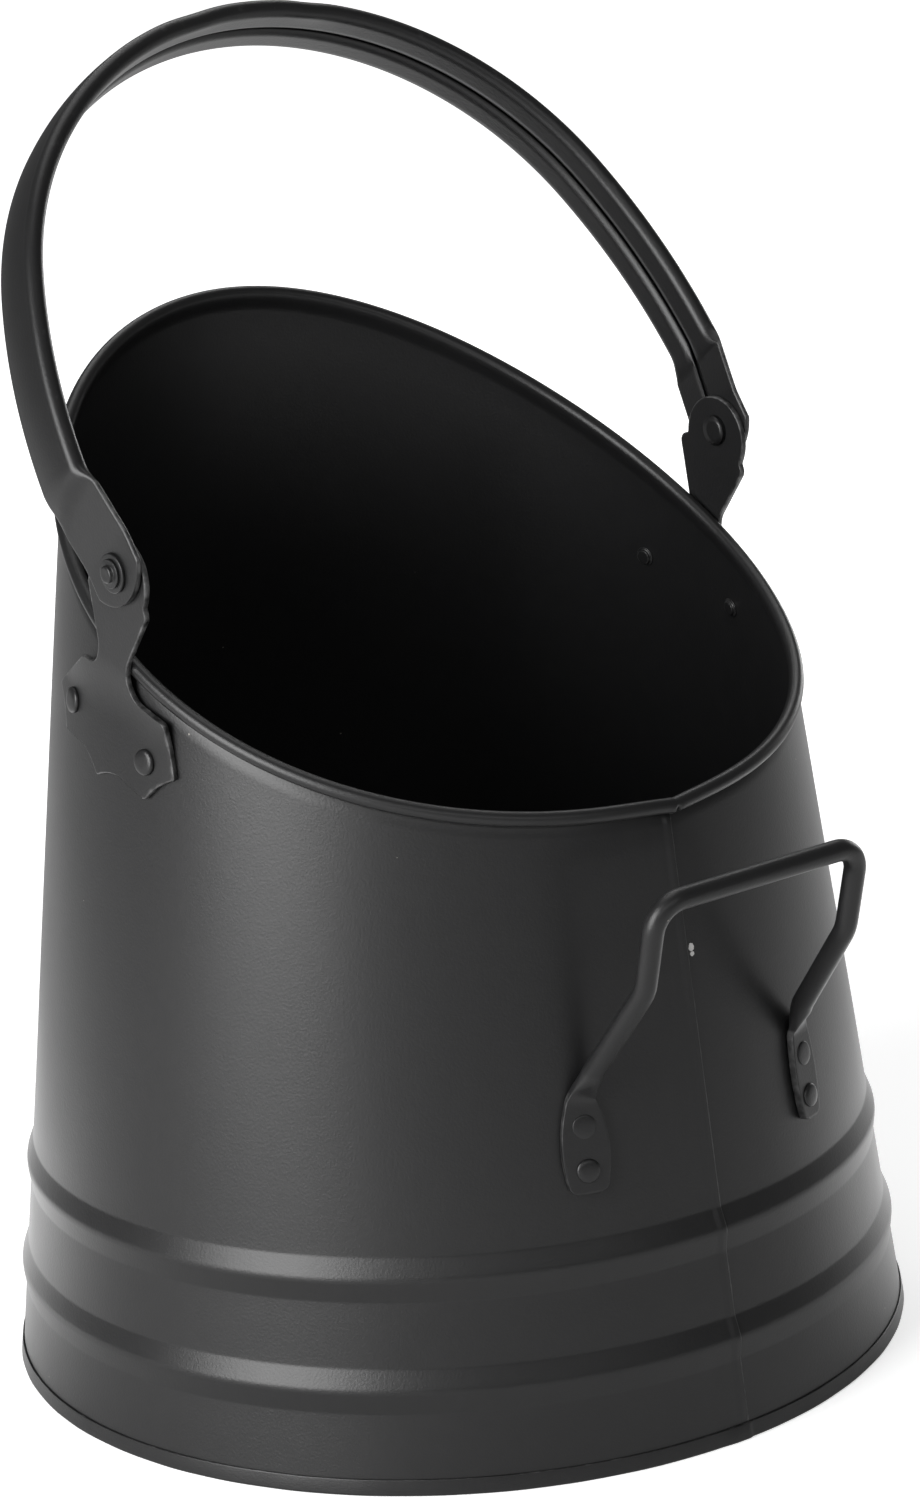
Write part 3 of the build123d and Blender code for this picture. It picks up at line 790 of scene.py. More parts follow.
@dataclass
class PivotStack:
    """Rivet and washer that hold the bail's tab on an ear."""

    side: Side
    pivot: tuple = (-13.0, 305.5)
    inner_x: float = 128.48
    tab_outer_x: float = 132.95
    shank: float = 3.0
    washer_radius: float = 6.8
    washer_height: float = 1.2
    head_radius: float = 5.4
    head_height: float = 1.5
    collar_radius: float = 5.0
    collar_height: float = 0.9
    tip_radius: float = 3.0
    tip_height: float = 2.4
    steps_round: int = 56

    def spin(self, name: str, profile: np.ndarray, node: str, edge: np.ndarray) -> bpy.types.Object:
        """Carry a profile of (X, radius) round the pivot's axis.

        Args:
            name: name of the piece.
            profile: the profile, shape (n, 2).
            node: CAD node that the piece replaces.
            edge: share of wear at each point of the profile.

        Returns:
            The finished object.
        """
        turn = np.linspace(0, FULL_TURN, self.steps_round, endpoint=False)
        axes = ((0, 1, 0), (0, 0, 1), (self.side.value, 0, 0))
        grid = carry_round(profile[:, 1], profile[:, 0], turn, (0, *self.pivot), axes)
        piece = piece_from_grid(name, grid, True, bool(profile[0, 1] > 0), edge[None, :])
        return place_on_body(piece, "bucket", Slot.RIVET, node)

    def build(self) -> list:
        """Build the rivet and the washer of this side.

        Returns:
            The two objects.
        """
        label = self.side.label
        bevel = np.linspace(0, math.pi / 2, 6)
        to_side, to_end = 1 - np.sin(bevel), 1 - np.cos(bevel)
        start = self.inner_x
        behind = start - self.head_height
        out = self.tab_outer_x + self.washer_height + 0.02
        inner_head = pairs(behind + 0.5 * to_side[::-1], self.head_radius - 0.5 * to_end)
        ring = pairs(out + self.collar_height - 0.3 * to_side, self.collar_radius - 0.3 * to_end)
        tip = pairs(out + self.tip_height - 0.7 * to_side, self.tip_radius - 0.8 * to_end)
        rivet = np.vstack([
            [[behind, 0.0], [behind, 3.0]],
            inner_head,
            [[start, self.head_radius], [start, self.shank], [out, self.shank], [out, self.collar_radius]],
            ring,
            [[out + 0.86, 3.3], [out + 0.92, 3.05]],
            tip,
            [[out + 2.36, 1.2], [out + 2.3, 0.0]],
        ])
        wear = np.zeros(len(rivet))
        wear[-9:] = 0.7
        flat = self.tab_outer_x
        top = flat + self.washer_height
        wide = self.washer_radius
        bore = self.shank + 0.06
        washer = np.vstack([
            [[flat, bore], [flat, wide - 0.15], [flat + 0.15, wide]],
            pairs(top - 0.4 * to_side, wide - 0.4 * to_end),
            [[top, 5.2], [top, bore]],
        ])
        rim_wear = 0.8 * bump(washer[:, 1], wide, 0.3)
        return [self.spin(f"pivot_pin_{label}", rivet, f"pivot_rivet_{label}", wear),
                self.spin(f"pivot_ring_{label}", washer, f"pivot_washer_{label}", rim_wear)]


# The bail


@dataclass
class Bail:
    """Strip with both edges rolled under, on an arch of three centres, pinched flat at its ends."""

    pivot: tuple = (-13.0, 305.5)
    lean: float = 35.0
    sheet: float = 1.1
    half_span: float = 140.0
    spring: float = 20.0
    rise: float = 171.5
    side_radius: float = 240.0
    width: float = 25.2
    depth: float = 6.8
    crown: float = 0.7
    groove: float = 2.0
    lip_gap: float = 0.7
    lip_over: float = 0.5
    pinch_top: float = 36.0
    pinch_foot: float = 27.0
    skew_left: float = 0.3
    skew_right: float = 0.08
    tab_half: float = 15.4
    tab_sheet: float = 2.2
    tab_x: float = 131.8
    tab_bend: float = 8.0
    tab_spread: float = 3.0
    tab_corner: float = -3.0
    tab_end: float = -11.0
    dents: tuple = ((-16, 9, 0.7), (31, 6, 0.5))
    dent_line: tuple = (-12.5, 4.0)
    top_above: float = 150.0

    @property
    def side_arc(self) -> float:
        """Radius of the side arc of the section's centre line."""
        return self.side_radius - self.depth / 2

    def line(self) -> np.ndarray:
        """Half of the section's centre line, from the tab's end to the top of the arch.

        The tab runs straight up, then leans out in proportion to the height, with a soft bend between
        them, and an S-curve takes it over to the side arc. The side arc and the crown arc have one
        tangent where they join.

        Returns:
            Points of (X, height).
        """
        side_x = self.half_span - self.side_radius
        crown_radius = (self.side_radius**2 - side_x**2 - self.rise**2) / (2 * (self.side_radius - self.rise))
        crown_z = self.spring + self.rise - crown_radius
        join = math.atan2(crown_z - self.spring, -side_x)
        start = math.asin((self.pinch_top + 3 - self.spring) / self.side_arc)
        low = self.tab_end + (self.tab_corner - self.tab_end) * (1 - np.cos(np.linspace(0, math.pi / 2, 14)))
        mid = np.linspace(self.tab_corner, self.pinch_foot - 1, 28)[1:]
        upper = np.linspace(self.pinch_foot - 1, self.pinch_top + 2.5, 34)[1:]
        height = np.concatenate([low, mid, upper])
        arc_x = side_x + np.sqrt(self.side_arc**2 - (height - self.spring) ** 2)
        above = height - self.tab_bend
        ramp = (above + np.sqrt(above**2 + 2.0)) / 2
        tab_line = self.tab_x + self.tab_spread * ramp / (self.pinch_foot - self.tab_bend)
        blend = smooth_step(height, self.pinch_foot, self.pinch_top + 2)
        leg = pairs(tab_line + (arc_x - tab_line) * blend, height)
        side_turn = np.linspace(start, join, 40)
        side = pairs(side_x + self.side_arc * np.cos(side_turn),
                     self.spring + self.side_arc * np.sin(side_turn))
        crown_turn = np.linspace(join, math.pi / 2, 60)[1:]
        crown_arc = crown_radius - self.depth / 2
        crown = pairs(crown_arc * np.cos(crown_turn), crown_z + crown_arc * np.sin(crown_turn))
        return np.vstack([leg, side, crown])

    def rolled_section(self) -> tuple:
        """The two faces of the rolled section's sheet, as points of (way out, way across).

        The middle line of the sheet is drawn from one lip, round a rolled edge, over the crown and
        round the other edge. Each face is that line moved by half the sheet's thickness.

        Returns:
            The outer and the inner face, each of shape (n, 2).
        """
        half = self.sheet / 2
        lobe = self.depth / 2 - half
        lobe_y = self.width / 2 - self.depth / 2
        lip_y = self.lip_gap / 2 + half
        turn = np.linspace(math.pi, 0, 22)
        curl = arc((-lobe + self.groove * 0.75, lip_y), (-lobe + 0.35, lip_y + 1.4), (-lobe, lip_y + 3.4), 8)
        flat = pairs(np.full(4, -lobe), np.linspace(lip_y + 4.2, lobe_y - 0.4, 4))
        tube = pairs(lobe * np.cos(turn), lobe_y + lobe * np.sin(turn))
        over = np.linspace(lobe_y, 0, 9)[1:]
        crown = pairs(lobe + self.crown * (1 - (over / lobe_y) ** 2), over)
        right = np.vstack([curl, flat, tube, crown])
        line = np.vstack([right, right[-2::-1] * [1, -1]])
        tangent = unit(np.gradient(line, axis=0))
        normal = pairs(tangent[:, 1], -tangent[:, 0])
        outside = line - normal * half
        inside = line + normal * half
        if np.ptp(outside[:, 1]) < np.ptp(inside[:, 1]):
            outside, inside = inside, outside
        return outside, inside

    def flat_section(self, rolled: np.ndarray, inside: bool) -> np.ndarray:
        """The same loop after the pinch: two layers pressed together, folded at both edges.

        Each point keeps its share of the way across. Its way out is that of the layer it belongs to,
        and the outer corners follow a small fold. One lip stands a little proud of the other.

        Args:
            rolled: points of the rolled section.
            inside: whether the points lie on the sheet's inner face.

        Returns:
            Array of the same shape.
        """
        share = rolled[:, 1] / (self.width / 2)
        across = np.sign(share) * np.abs(share) ** 0.92 * self.tab_half
        layer = np.tanh(3.0 * rolled[:, 0] / (self.depth / 2))
        if inside:
            return pairs(0.06 * layer, across * 0.93)
        over = self.lip_over * smooth_step(across, 0, 0.3) * (1 - smooth_step(across, 0.8, 3.2)) * (layer < 0)
        fold = np.sqrt(np.clip(1 - np.clip((np.abs(across) - self.tab_half + 1.1) / 1.1, 0, 1) ** 2, 0, 1))
        thickness = self.tab_sheet / 2
        out = thickness * np.sign(layer) * np.maximum(fold, 0.05) * np.minimum(1, np.abs(layer))
        return pairs(out - over, across)

    def pinch(self, line: np.ndarray, rolled: np.ndarray) -> np.ndarray:
        """Share of the flat section at each height and point of the section.

        On the outer face it changes by an S-curve. On the rolled edges' inner side it is one less a
        power of one less the way down to a power, which ends them in blunt pillows.

        Args:
            line: stations on the centre line, as (X, height).
            rolled: points of the rolled section.

        Returns:
            Array of shape (stations, points).
        """
        skew = np.where(line[:, :1] < 0, self.skew_left, self.skew_right)
        height = line[:, 1:] + skew * (rolled[None, :, 1] + self.width / 2)
        way_down = np.clip((self.pinch_top - height) / (self.pinch_top - self.pinch_foot), 0, 1)
        soft = way_down * way_down * (3 - 2 * way_down)
        blunt = 1 - np.clip(1 - way_down**2.4, 0, 1) ** 0.8
        inner = smooth_step(-rolled[None, :, 0], -1.0, 2.2)
        return soft * (1 - inner) + blunt * inner

    def build(self) -> bpy.types.Object:
        """Mesh the bail: the section is carried along the arch, rolled over it and flat at its ends.

        Returns:
            The finished object.
        """
        half = self.line()
        whole = np.vstack([half, half[-2::-1] * [-1, 1]])
        tangent = unit(np.gradient(whole, axis=0))
        normal = pairs(tangent[:, 1], -tangent[:, 0])
        outside, inside = self.rolled_section()
        rolled = np.vstack([outside, inside[::-1]])
        flat = np.vstack([self.flat_section(outside, False), self.flat_section(inside, True)[::-1]])
        height = whole[:, 1]
        pinch = self.pinch(whole, rolled)[..., None]
        section = rolled[None] * (1 - pinch) + flat[None] * pinch
        end_rise = self.tab_corner - self.tab_end
        end_radius = (self.tab_half**2 + end_rise**2) / (2 * end_rise)
        centre = self.tab_end + end_radius
        chord = np.sqrt(np.clip(end_radius**2 - (height - centre) ** 2, 0, None)) / self.tab_half
        narrow = np.where(height < self.tab_corner, np.minimum(chord, 1), 1.0)[:, None]
        across = section[..., 1] * narrow
        dent = -sum(deep * bump(whole[:, 0], middle, width) for middle, width, deep in self.dents)
        dent = dent[:, None] * bump(across, *self.dent_line) * (height[:, None] > self.top_above)
        out = section[..., 0] + dent
        x = whole[:, :1] + normal[:, :1] * out
        z = whole[:, 1:] + normal[:, 1:] * out
        tilt = math.radians(self.lean)
        y_place = self.pivot[0] + across * math.cos(tilt) + z * math.sin(tilt)
        z_place = self.pivot[1] - across * math.sin(tilt) + z * math.cos(tilt)
        grid = np.stack([x, y_place, z_place], axis=-1)
        lip = bump(np.abs(rolled[:, 1]), self.width / 2, 1.6)[None, :] * (1 - pinch[..., 0])
        fold = pinch[..., 0] * bump(np.abs(flat[:, 1]), self.tab_half, 0.9)[None, :]
        edge = np.clip(0.6 * lip + fold, 0, 1)
        piece = piece_from_grid("bail_strip", grid, False, True, edge)
        return place_on_body(piece, "bail", Slot.BAIL, "bail")


# The tipping handle


@dataclass
class TippingHandle:
    """Bent rod on the low side, with its ends flattened into riveted feet."""

    form: BucketForm = FORM
    rod_radius: float = 3.75
    foot_x: float = 47.7
    foot_middle: float = 115.0
    foot_widths: tuple = (12.6, 16.4)
    neck_width: float = 8.8
    end_share: float = 0.76
    foot_widest: float = -7.0
    foot_corner: float = 2.6
    foot_sheet: float = 2.7
    foot_low: float = -18.0
    foot_high: float = 16.0
    start: tuple = (45.9, -142.4, 140.0)
    elbow: tuple = (43.6, -168.5, 173.0)
    corner: tuple = (43.6, -176.5, 204.0)
    elbow_bend: float = 16.0
    corner_bend: float = 10.0
    bar_way: tuple = (0.0, -0.93, -0.36)
    slab_power: float = 0.14
    steps_round: int = 48
    rivet_places: tuple = (("lower", -10.0, 1.2), ("upper", 5.0, 0.55))

    @property
    def foot_angle(self) -> float:
        """Angle round the body of the right foot, in radians."""
        return -math.pi / 2 + math.asin(self.foot_x / float(self.form.wall_radius(self.foot_middle)))

    def path(self) -> np.ndarray:
        """Half of the rod's centre line, from the foot's lower end to the middle of the bar."""
        point, _, up, out = self.form.wall_frame(self.foot_angle, self.foot_middle)
        mid = point + out * (0.03 + self.foot_sheet / 2)
        corners = np.array([mid + up * self.foot_low, mid + up * (self.foot_high - 1.5), self.start,
                            self.elbow, self.corner, (0.0, *self.corner[1:])])
        return rounded_path(corners, [7.0, 9.0, self.elbow_bend, self.corner_bend], 1.1)

    def leaf(self, up: np.ndarray, width: float) -> np.ndarray:
        """Half width of a foot: an arc through its neck, widest part and end, with the end's corners round.

        Args:
            up: way up from the foot's middle.
            width: the foot's full width.

        Returns:
            Half widths.
        """
        side = arc((self.neck_width / 2, self.foot_high), (width / 2, self.foot_widest),
                   (width * self.end_share / 2, self.foot_low), 60)[::-1]
        plain = np.interp(up, side[:, 1], side[:, 0])
        away = np.clip((up - self.foot_low) / self.foot_corner, 0, 1)
        return plain - self.foot_corner * (1 - np.sqrt(1 - (1 - away) ** 2))

    def half_grid(self, width: float) -> tuple:
        """Half of the rod's surface from one foot to the middle of the bar, and its share of wear.

        The section's directions come from a guide vector that turns from the wall's normal to the
        handle's own, made square to the path at each point. The section is a rounded slab in the foot
        and a circle in the rod: the sine and cosine are raised to a small power that grows to one.

        Args:
            width: the foot's full width.

        Returns:
            Points of shape (n, m, 3) and wear of shape (n, m).
        """
        half = self.path()
        _, _, _, out = self.form.wall_frame(self.foot_angle, self.foot_middle)
        steps = np.linalg.norm(np.diff(half, axis=0), axis=1)
        length = np.concatenate([[0], np.cumsum(steps)])
        tangent = unit(np.gradient(half, axis=0))
        foot_length = self.foot_high - self.foot_low
        turn_over = smooth_step(length, foot_length, foot_length + 25)[:, None]
        guide = out * (1 - turn_over) + unit(np.array(self.bar_way)) * turn_over
        away = unit(guide - (guide * tangent).sum(1, keepdims=True) * tangent)
        aside = np.cross(tangent, away)
        round_share = smooth_step(length, foot_length - 1.5, foot_length + 9)[:, None]
        leaf = self.leaf(length + self.foot_low, width)[:, None]
        half_width = leaf * (1 - round_share) + self.rod_radius * round_share
        half_thick = self.foot_sheet / 2 * (1 - round_share) + self.rod_radius * round_share
        power = self.slab_power * (1 - round_share) + round_share
        turn = np.linspace(0, FULL_TURN, self.steps_round, endpoint=False)[None, :]
        wide = np.sign(np.cos(turn)) * np.abs(np.cos(turn)) ** power * half_width
        thick = np.sign(np.sin(turn)) * np.abs(np.sin(turn)) ** power * half_thick
        grid = half[:, None] + wide[..., None] * aside[:, None] + thick[..., None] * away[:, None]
        cap = np.broadcast_to(grid[:1].mean(axis=1, keepdims=True), grid[:1].shape)
        grid = np.concatenate([cap, cap + (grid[:1] - cap) * 0.97, grid], axis=0)
        flats = (np.abs(np.cos(turn)) > 0.86) | (np.abs(np.sin(turn)) < 0.5)
        wear = np.concatenate([[[0.2]], [[0.8]], 0.9 * (1 - round_share)]) * flats
        bar = bump(np.concatenate([np.zeros(2), length]), length[-1], 30)[:, None]
        return grid, np.clip(wear + 0.35 * bar, 0, 1)

    def build(self) -> bpy.types.Object:
        """Mesh the rod: the right half, joined at the middle of the bar to the mirrored left half.

        Returns:
            The finished object.
        """
        (right, right_wear), (left, left_wear) = (self.half_grid(width) for width in self.foot_widths)
        whole = np.concatenate([right, left[-2::-1] * np.array([-1, 1, 1])], axis=0)
        edge = np.concatenate([right_wear, left_wear[-2::-1]], axis=0)
        piece = piece_from_grid("tipping_rod", whole, False, True, edge)
        return place_on_body(piece, "bucket", Slot.HANDLE, "tipping_handle")

    def rivets(self) -> list:
        """The four rivets of the feet, two on each side.

        Returns:
            The finished objects.
        """
        pieces = []
        point, _, rise, _ = self.form.wall_frame(self.foot_angle, self.foot_middle)
        seat = 0.03 + self.foot_sheet
        for side in Side:
            angle = self.foot_angle if side is Side.RIGHT else -math.pi - self.foot_angle
            for place, up, dome in self.rivet_places:
                rivet = DomeRivet(
                    name=f"foot_rivet_{side.label}_{place}", node=f"handle_rivet_{side.label}_{place}",
                    angle=angle, height=float((point + rise * up)[2]), grip=seat + self.form.sheet,
                    seat=seat, head=4.1, dome=dome,
                )
                pieces.append(rivet.build())
        return pieces


# Finishes


class NodeKit:
    """A node tree with short ways to add, set and join its nodes."""

    def __init__(self, tree: bpy.types.NodeTree) -> None:
        """Keep the tree."""
        self.tree = tree

    def feed(self, target: bpy.types.NodeSocket, value: object) -> None:
        """Join a socket to a target socket, or set the target to a value. None leaves it alone."""
        if isinstance(value, bpy.types.NodeSocket):
            self.tree.links.new(value, target)
        elif value is not None:
            target.default_value = value

    def node(self, kind: str, *values: object, **settings: object) -> bpy.types.Node:
        """Add a shader node.

        Args:
            kind: the node's type name after "ShaderNode".
            values: sockets or values for its first inputs, in their order.
            settings: properties, or inputs where the name starts with a capital letter.

        Returns:
            The node.
        """
        node = self.tree.nodes.new(f"ShaderNode{kind}")
        inputs = list(enumerate(values))
        for key, value in settings.items():
            if key[0].isupper():
                inputs.append((key.replace("_", " "), value))
            else:
                setattr(node, key, value)
        for key, value in inputs:
            self.feed(node.inputs[key], value)
        return node

    def group(self, tree: bpy.types.NodeTree, **inputs: object) -> bpy.types.bpy_prop_collection:
        """Add a node group and return its outputs."""
        return self.node("Group", node_tree=tree, **inputs).outputs

    def math(self, operation: str, *values: object, clamp: bool = False) -> bpy.types.NodeSocket:
        """Add a Math node on sockets or numbers and return its value."""
        return self.node("Math", *values, operation=operation, use_clamp=clamp).outputs[0]

    def times(self, first: object, second: object) -> bpy.types.NodeSocket:
        """Multiply two sockets or numbers."""
        return self.math("MULTIPLY", first, second)

    def noise(self, place: object, scale: object, detail: float, roughness: float) -> bpy.types.NodeSocket:
        """Add a Noise Texture and return its value."""
        return self.node("TexNoise", noise_dimensions="3D", Vector=place, Scale=scale, Detail=detail,
                         Roughness=roughness).outputs[0]

    def blend(self, share: object, *colours: object) -> bpy.types.NodeSocket:
        """Mix two colours, each a socket or a triple, by the share of the second."""
        pair = [(*colour, 1.0) if isinstance(colour, tuple) else colour for colour in colours]
        return self.node("Mix", share, *[None] * 5, *pair, data_type="RGBA").outputs[2]

    def ramp(self, value: bpy.types.NodeSocket, span: tuple, result: tuple) -> bpy.types.NodeSocket:
        """S-curve from one result to another as a value runs across a span."""
        return self.node("MapRange", value, *span, *result, interpolation_type="SMOOTHSTEP").outputs["Result"]


class GroupKit(NodeKit):
    """A shader node group in the making."""

    def __init__(self, name: str, inputs: dict, outputs: tuple) -> None:
        """Create the group with its sockets.

        Args:
            name: name of the group.
            inputs: name of each input with its value, or with None for a vector.
            outputs: names of the values that it puts out.
        """
        super().__init__(bpy.data.node_groups.new(name, "ShaderNodeTree"))
        for label, value in inputs.items():
            kind = "NodeSocketVector" if value is None else "NodeSocketFloat"
            socket = self.tree.interface.new_socket(label, in_out="INPUT", socket_type=kind)
            if value is not None:
                socket.default_value = value
        for label in outputs:
            self.tree.interface.new_socket(label, in_out="OUTPUT", socket_type="NodeSocketFloat")
        self.entry = self.tree.nodes.new("NodeGroupInput")
        self.exit = self.tree.nodes.new("NodeGroupOutput")

    def given(self, label: str) -> bpy.types.NodeSocket:
        """One of the group's inputs."""
        return self.entry.outputs[label]

    def give(self, **results: bpy.types.NodeSocket) -> bpy.types.NodeTree:
        """Join the results to the group's outputs and return the group."""
        for label, socket in results.items():
            self.feed(self.exit.inputs[label], socket)
        return self.tree


def coat_texture_group() -> bpy.types.NodeTree:
    """Fine texture of a baked powder coat: a pebbled height, a soft tone and a roughness that drifts.

    Returns:
        The node group.
    """
    kit = GroupKit("coat_texture", {"Vector": None, "Pebble Size": 1100.0, "Drift Size": 9.0},
                   ("Height", "Tone", "Drift"))
    place = kit.given("Vector")
    pebble = kit.noise(place, kit.given("Pebble Size"), detail=2.0, roughness=0.55)
    flow = kit.noise(place, scale=160.0, detail=2.0, roughness=0.5)
    drift = kit.noise(place, kit.given("Drift Size"), detail=4.0, roughness=0.6)
    height = kit.math("ADD", pebble, kit.times(flow, 0.45))
    tone = kit.math("ADD", kit.times(pebble, 0.35), kit.times(flow, 0.65))
    return kit.give(Height=height, Tone=tone, Drift=drift)


def dust_group() -> bpy.types.NodeTree:
    """Scattered pale specks: in some cells of a cell pattern, a round dot about the cell's point.

    Returns:
        The node group.
    """
    kit = GroupKit("dust_specks", {"Vector": None, "Cells": 170.0, "Share": 0.1, "Radius": 0.06}, ("Mask",))
    cells = kit.node("TexVoronoi", voronoi_dimensions="3D", feature="F1", Vector=kit.given("Vector"),
                     Scale=kit.given("Cells"))
    pick = kit.node("SeparateColor", cells.outputs["Color"])
    chosen = kit.math("LESS_THAN", pick.outputs[0], kit.given("Share"))
    size = kit.times(kit.given("Radius"), kit.math("ADD", pick.outputs[1], 0.4))
    dot = kit.math("LESS_THAN", cells.outputs["Distance"], size)
    return kit.give(Mask=kit.times(chosen, dot))


def edge_wear_and_sheen_group() -> bpy.types.NodeTree:
    """Rubbed and chipped edges: the piece's edge attribute, broken up by noise and cut off sharply. The rub's
    paler paint is partly wear and partly a painted edge highlight.

    Returns:
        The node group.
    """
    kit = GroupKit("edge_wear_and_sheen", {"Vector": None, "Edge": 0.0, "Amount": 0.3, "Grain": 240.0}, ("Rub", "Chip"))
    edge = kit.given("Edge")
    noise = kit.noise(kit.given("Vector"), kit.given("Grain"), detail=3.0, roughness=0.6)
    broken = kit.math("ADD", kit.times(edge, 0.6), noise)
    limit = kit.math("SUBTRACT", 1.42, kit.given("Amount"))
    soft = kit.math("SUBTRACT", broken, kit.math("SUBTRACT", limit, 0.35))
    rub = kit.math("MULTIPLY", soft, kit.times(edge, 2.0), clamp=True)
    return kit.give(Rub=rub, Chip=kit.times(kit.math("GREATER_THAN", broken, limit), edge))


def coat_knock_group() -> bpy.types.NodeTree:
    """A small knock that shows the primer: where the distance from a point is under a ragged radius.

    Returns:
        The node group.
    """
    kit = GroupKit("coat_knock", {"Vector": None, "Centre": None, "Radius": 0.001}, ("Mask",))
    place = kit.given("Vector")
    away = kit.node("VectorMath", place, kit.given("Centre"), operation="DISTANCE").outputs["Value"]
    noise = kit.noise(place, scale=900.0, detail=2.0, roughness=0.6)
    ragged = kit.times(kit.math("ADD", noise, 0.45), kit.given("Radius"))
    return kit.give(Mask=kit.math("LESS_THAN", away, ragged))


@dataclass(frozen=True)
class PowderCoat:
    """Satin powder coat on steel, with texture, drifting gloss, dust, rubbed edges that partly stand as
    painted highlights, and chips.
    """

    slot: Slot
    colour: tuple = (0.0065, 0.0065, 0.0068)
    pale: tuple = (0.0115, 0.0115, 0.0119)
    worn_and_sheen: tuple = (0.12, 0.12, 0.12)
    bare: tuple = (0.21, 0.2, 0.19)
    dust: tuple = (0.33, 0.31, 0.28)
    primer: tuple = (0.62, 0.61, 0.6)
    roughness: float = 0.38
    roughness_spread: float = 0.12
    depth: float = 0.00006
    speck_share: float = 0.035
    wear: float = 0.12
    rub: float = 0.35
    dust_cover: float = 0.75
    dust_rough: float = 0.4
    pit_depth: float = 1.5
    chip_metal: float = 0.7
    chips: tuple = ()

    def material(self, groups: dict) -> bpy.types.Material:
        """Build the material.

        Args:
            groups: the shared node groups by name.

        Returns:
            The material, named after its slot.
        """
        material = bpy.data.materials.new(self.slot.value)
        material.use_nodes = True
        kit = NodeKit(material.node_tree)
        kit.tree.nodes.clear()
        place = kit.node("TexCoord").outputs["Object"]
        edge = kit.node("Attribute", attribute_name="edge").outputs["Fac"]
        texture = kit.group(groups["coat_texture"], Vector=place)
        wear = kit.group(groups["edge_wear_and_sheen"], Vector=place, Edge=edge, Amount=self.wear)
        dust = kit.group(groups["dust_specks"], Vector=place, Share=self.speck_share)[0]

        tone = kit.blend(texture["Tone"], self.colour, self.pale)
        # Paler rubbed paint on edges: partly wear, partly a painted edge highlight.
        rubbed_and_sheen = kit.blend(kit.times(wear["Rub"], self.rub), tone, self.worn_and_sheen)
        chipped = kit.blend(wear["Chip"], rubbed_and_sheen, self.bare)
        coat = kit.blend(kit.times(dust, self.dust_cover), chipped, self.dust)
        pits = wear["Chip"]
        for angle, height, radius in self.chips:
            spot = FORM.wall_frame(math.radians(angle), height)[0] * MM
            knock = kit.group(groups["coat_knock"], Vector=place, Centre=tuple(spot), Radius=radius * MM)[0]
            coat = kit.blend(knock, coat, self.primer)
            pits = kit.math("MAXIMUM", pits, knock)
        drift = kit.math("SUBTRACT", texture["Drift"], 0.5)
        rough = kit.math("MULTIPLY_ADD", drift, self.roughness_spread, self.roughness)
        rough = kit.math("ADD", rough, kit.times(dust, self.dust_rough), clamp=True)
        relief = kit.math("SUBTRACT", texture["Height"], kit.times(pits, self.pit_depth))
        normal = kit.node("Bump", Strength=1.0, Distance=self.depth, Height=relief).outputs[0]
        metal = kit.times(wear["Chip"], self.chip_metal)
        shader = kit.node("BsdfPrincipled", Base_Color=coat, Roughness=rough, Metallic=metal,
                          Specular_IOR_Level=0.5, Normal=normal)
        kit.node("OutputMaterial", shader.outputs[0])
        return material


# Knocks in the body's coat beside the seam and low on the front: angle in degrees, height and radius in mm
BODY_CHIPS = ((-89.37, 170.1, 1.35), (-89.27, 167.7, 0.85), (-89.49, 35.6, 0.55))


@dataclass
class Finishes:
    """All finishes of the bucket, one for each slot."""

    coats: tuple = (
        # The body's strong rub paints a pale line on the seam's step: partly worn paint, partly a painted
        # highlight.
        PowderCoat(Slot.BODY, wear=0.06, speck_share=0.03, rub=1.5, chips=BODY_CHIPS),
        PowderCoat(Slot.EAR, roughness=0.4, wear=0.1, speck_share=0.02, rub=1.2),
        PowderCoat(Slot.RIVET, roughness=0.36, wear=0.12, speck_share=0.0, rub=0.6),
        PowderCoat(Slot.BAIL, wear=0.1, speck_share=0.03, rub=1.0),
        PowderCoat(Slot.HANDLE, roughness=0.4, wear=0.1, speck_share=0.02, rub=0.8),
    )

    def dress(self, pieces: list) -> None:
        """Give each piece the material of its slot, and the hidden CAD nodes one too.

        Args:
            pieces: the scene's own pieces.
        """
        makers = (coat_texture_group, dust_group, edge_wear_and_sheen_group, coat_knock_group)
        groups = {tree.name: tree for tree in (maker() for maker in makers)}
        materials = {coat.slot.value: coat.material(groups) for coat in self.coats}
        dressed = [(piece, materials[piece["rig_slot"]]) for piece in pieces]
        dressed += [(node, materials[Slot.BODY.value]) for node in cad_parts.values()]
        for piece, material in dressed:
            piece.data.materials.clear()
            piece.data.materials.append(material)
        LOG.info("finishes: %d materials", len(materials))


# Floor, light and camera


@dataclass(frozen=True)
class SoftLight:
    """Rectangular light: its place, the point that it faces and its size in metres, and its power."""

    name: str
    place: tuple
    aim: tuple
    size: tuple
    watts: float

    def build(self) -> None:
        """Add the light to the scene."""
        data = bpy.data.lights.new(self.name, "AREA")
        data.shape = "RECTANGLE"
        data.size, data.size_y = self.size
        data.energy = self.watts
        light = bpy.data.objects.new(self.name, data)
        light.location = self.place
        light.rotation_euler = (Vector(self.aim) - Vector(self.place)).to_track_quat("-Z", "Y").to_euler()
        bpy.context.scene.collection.objects.link(light)


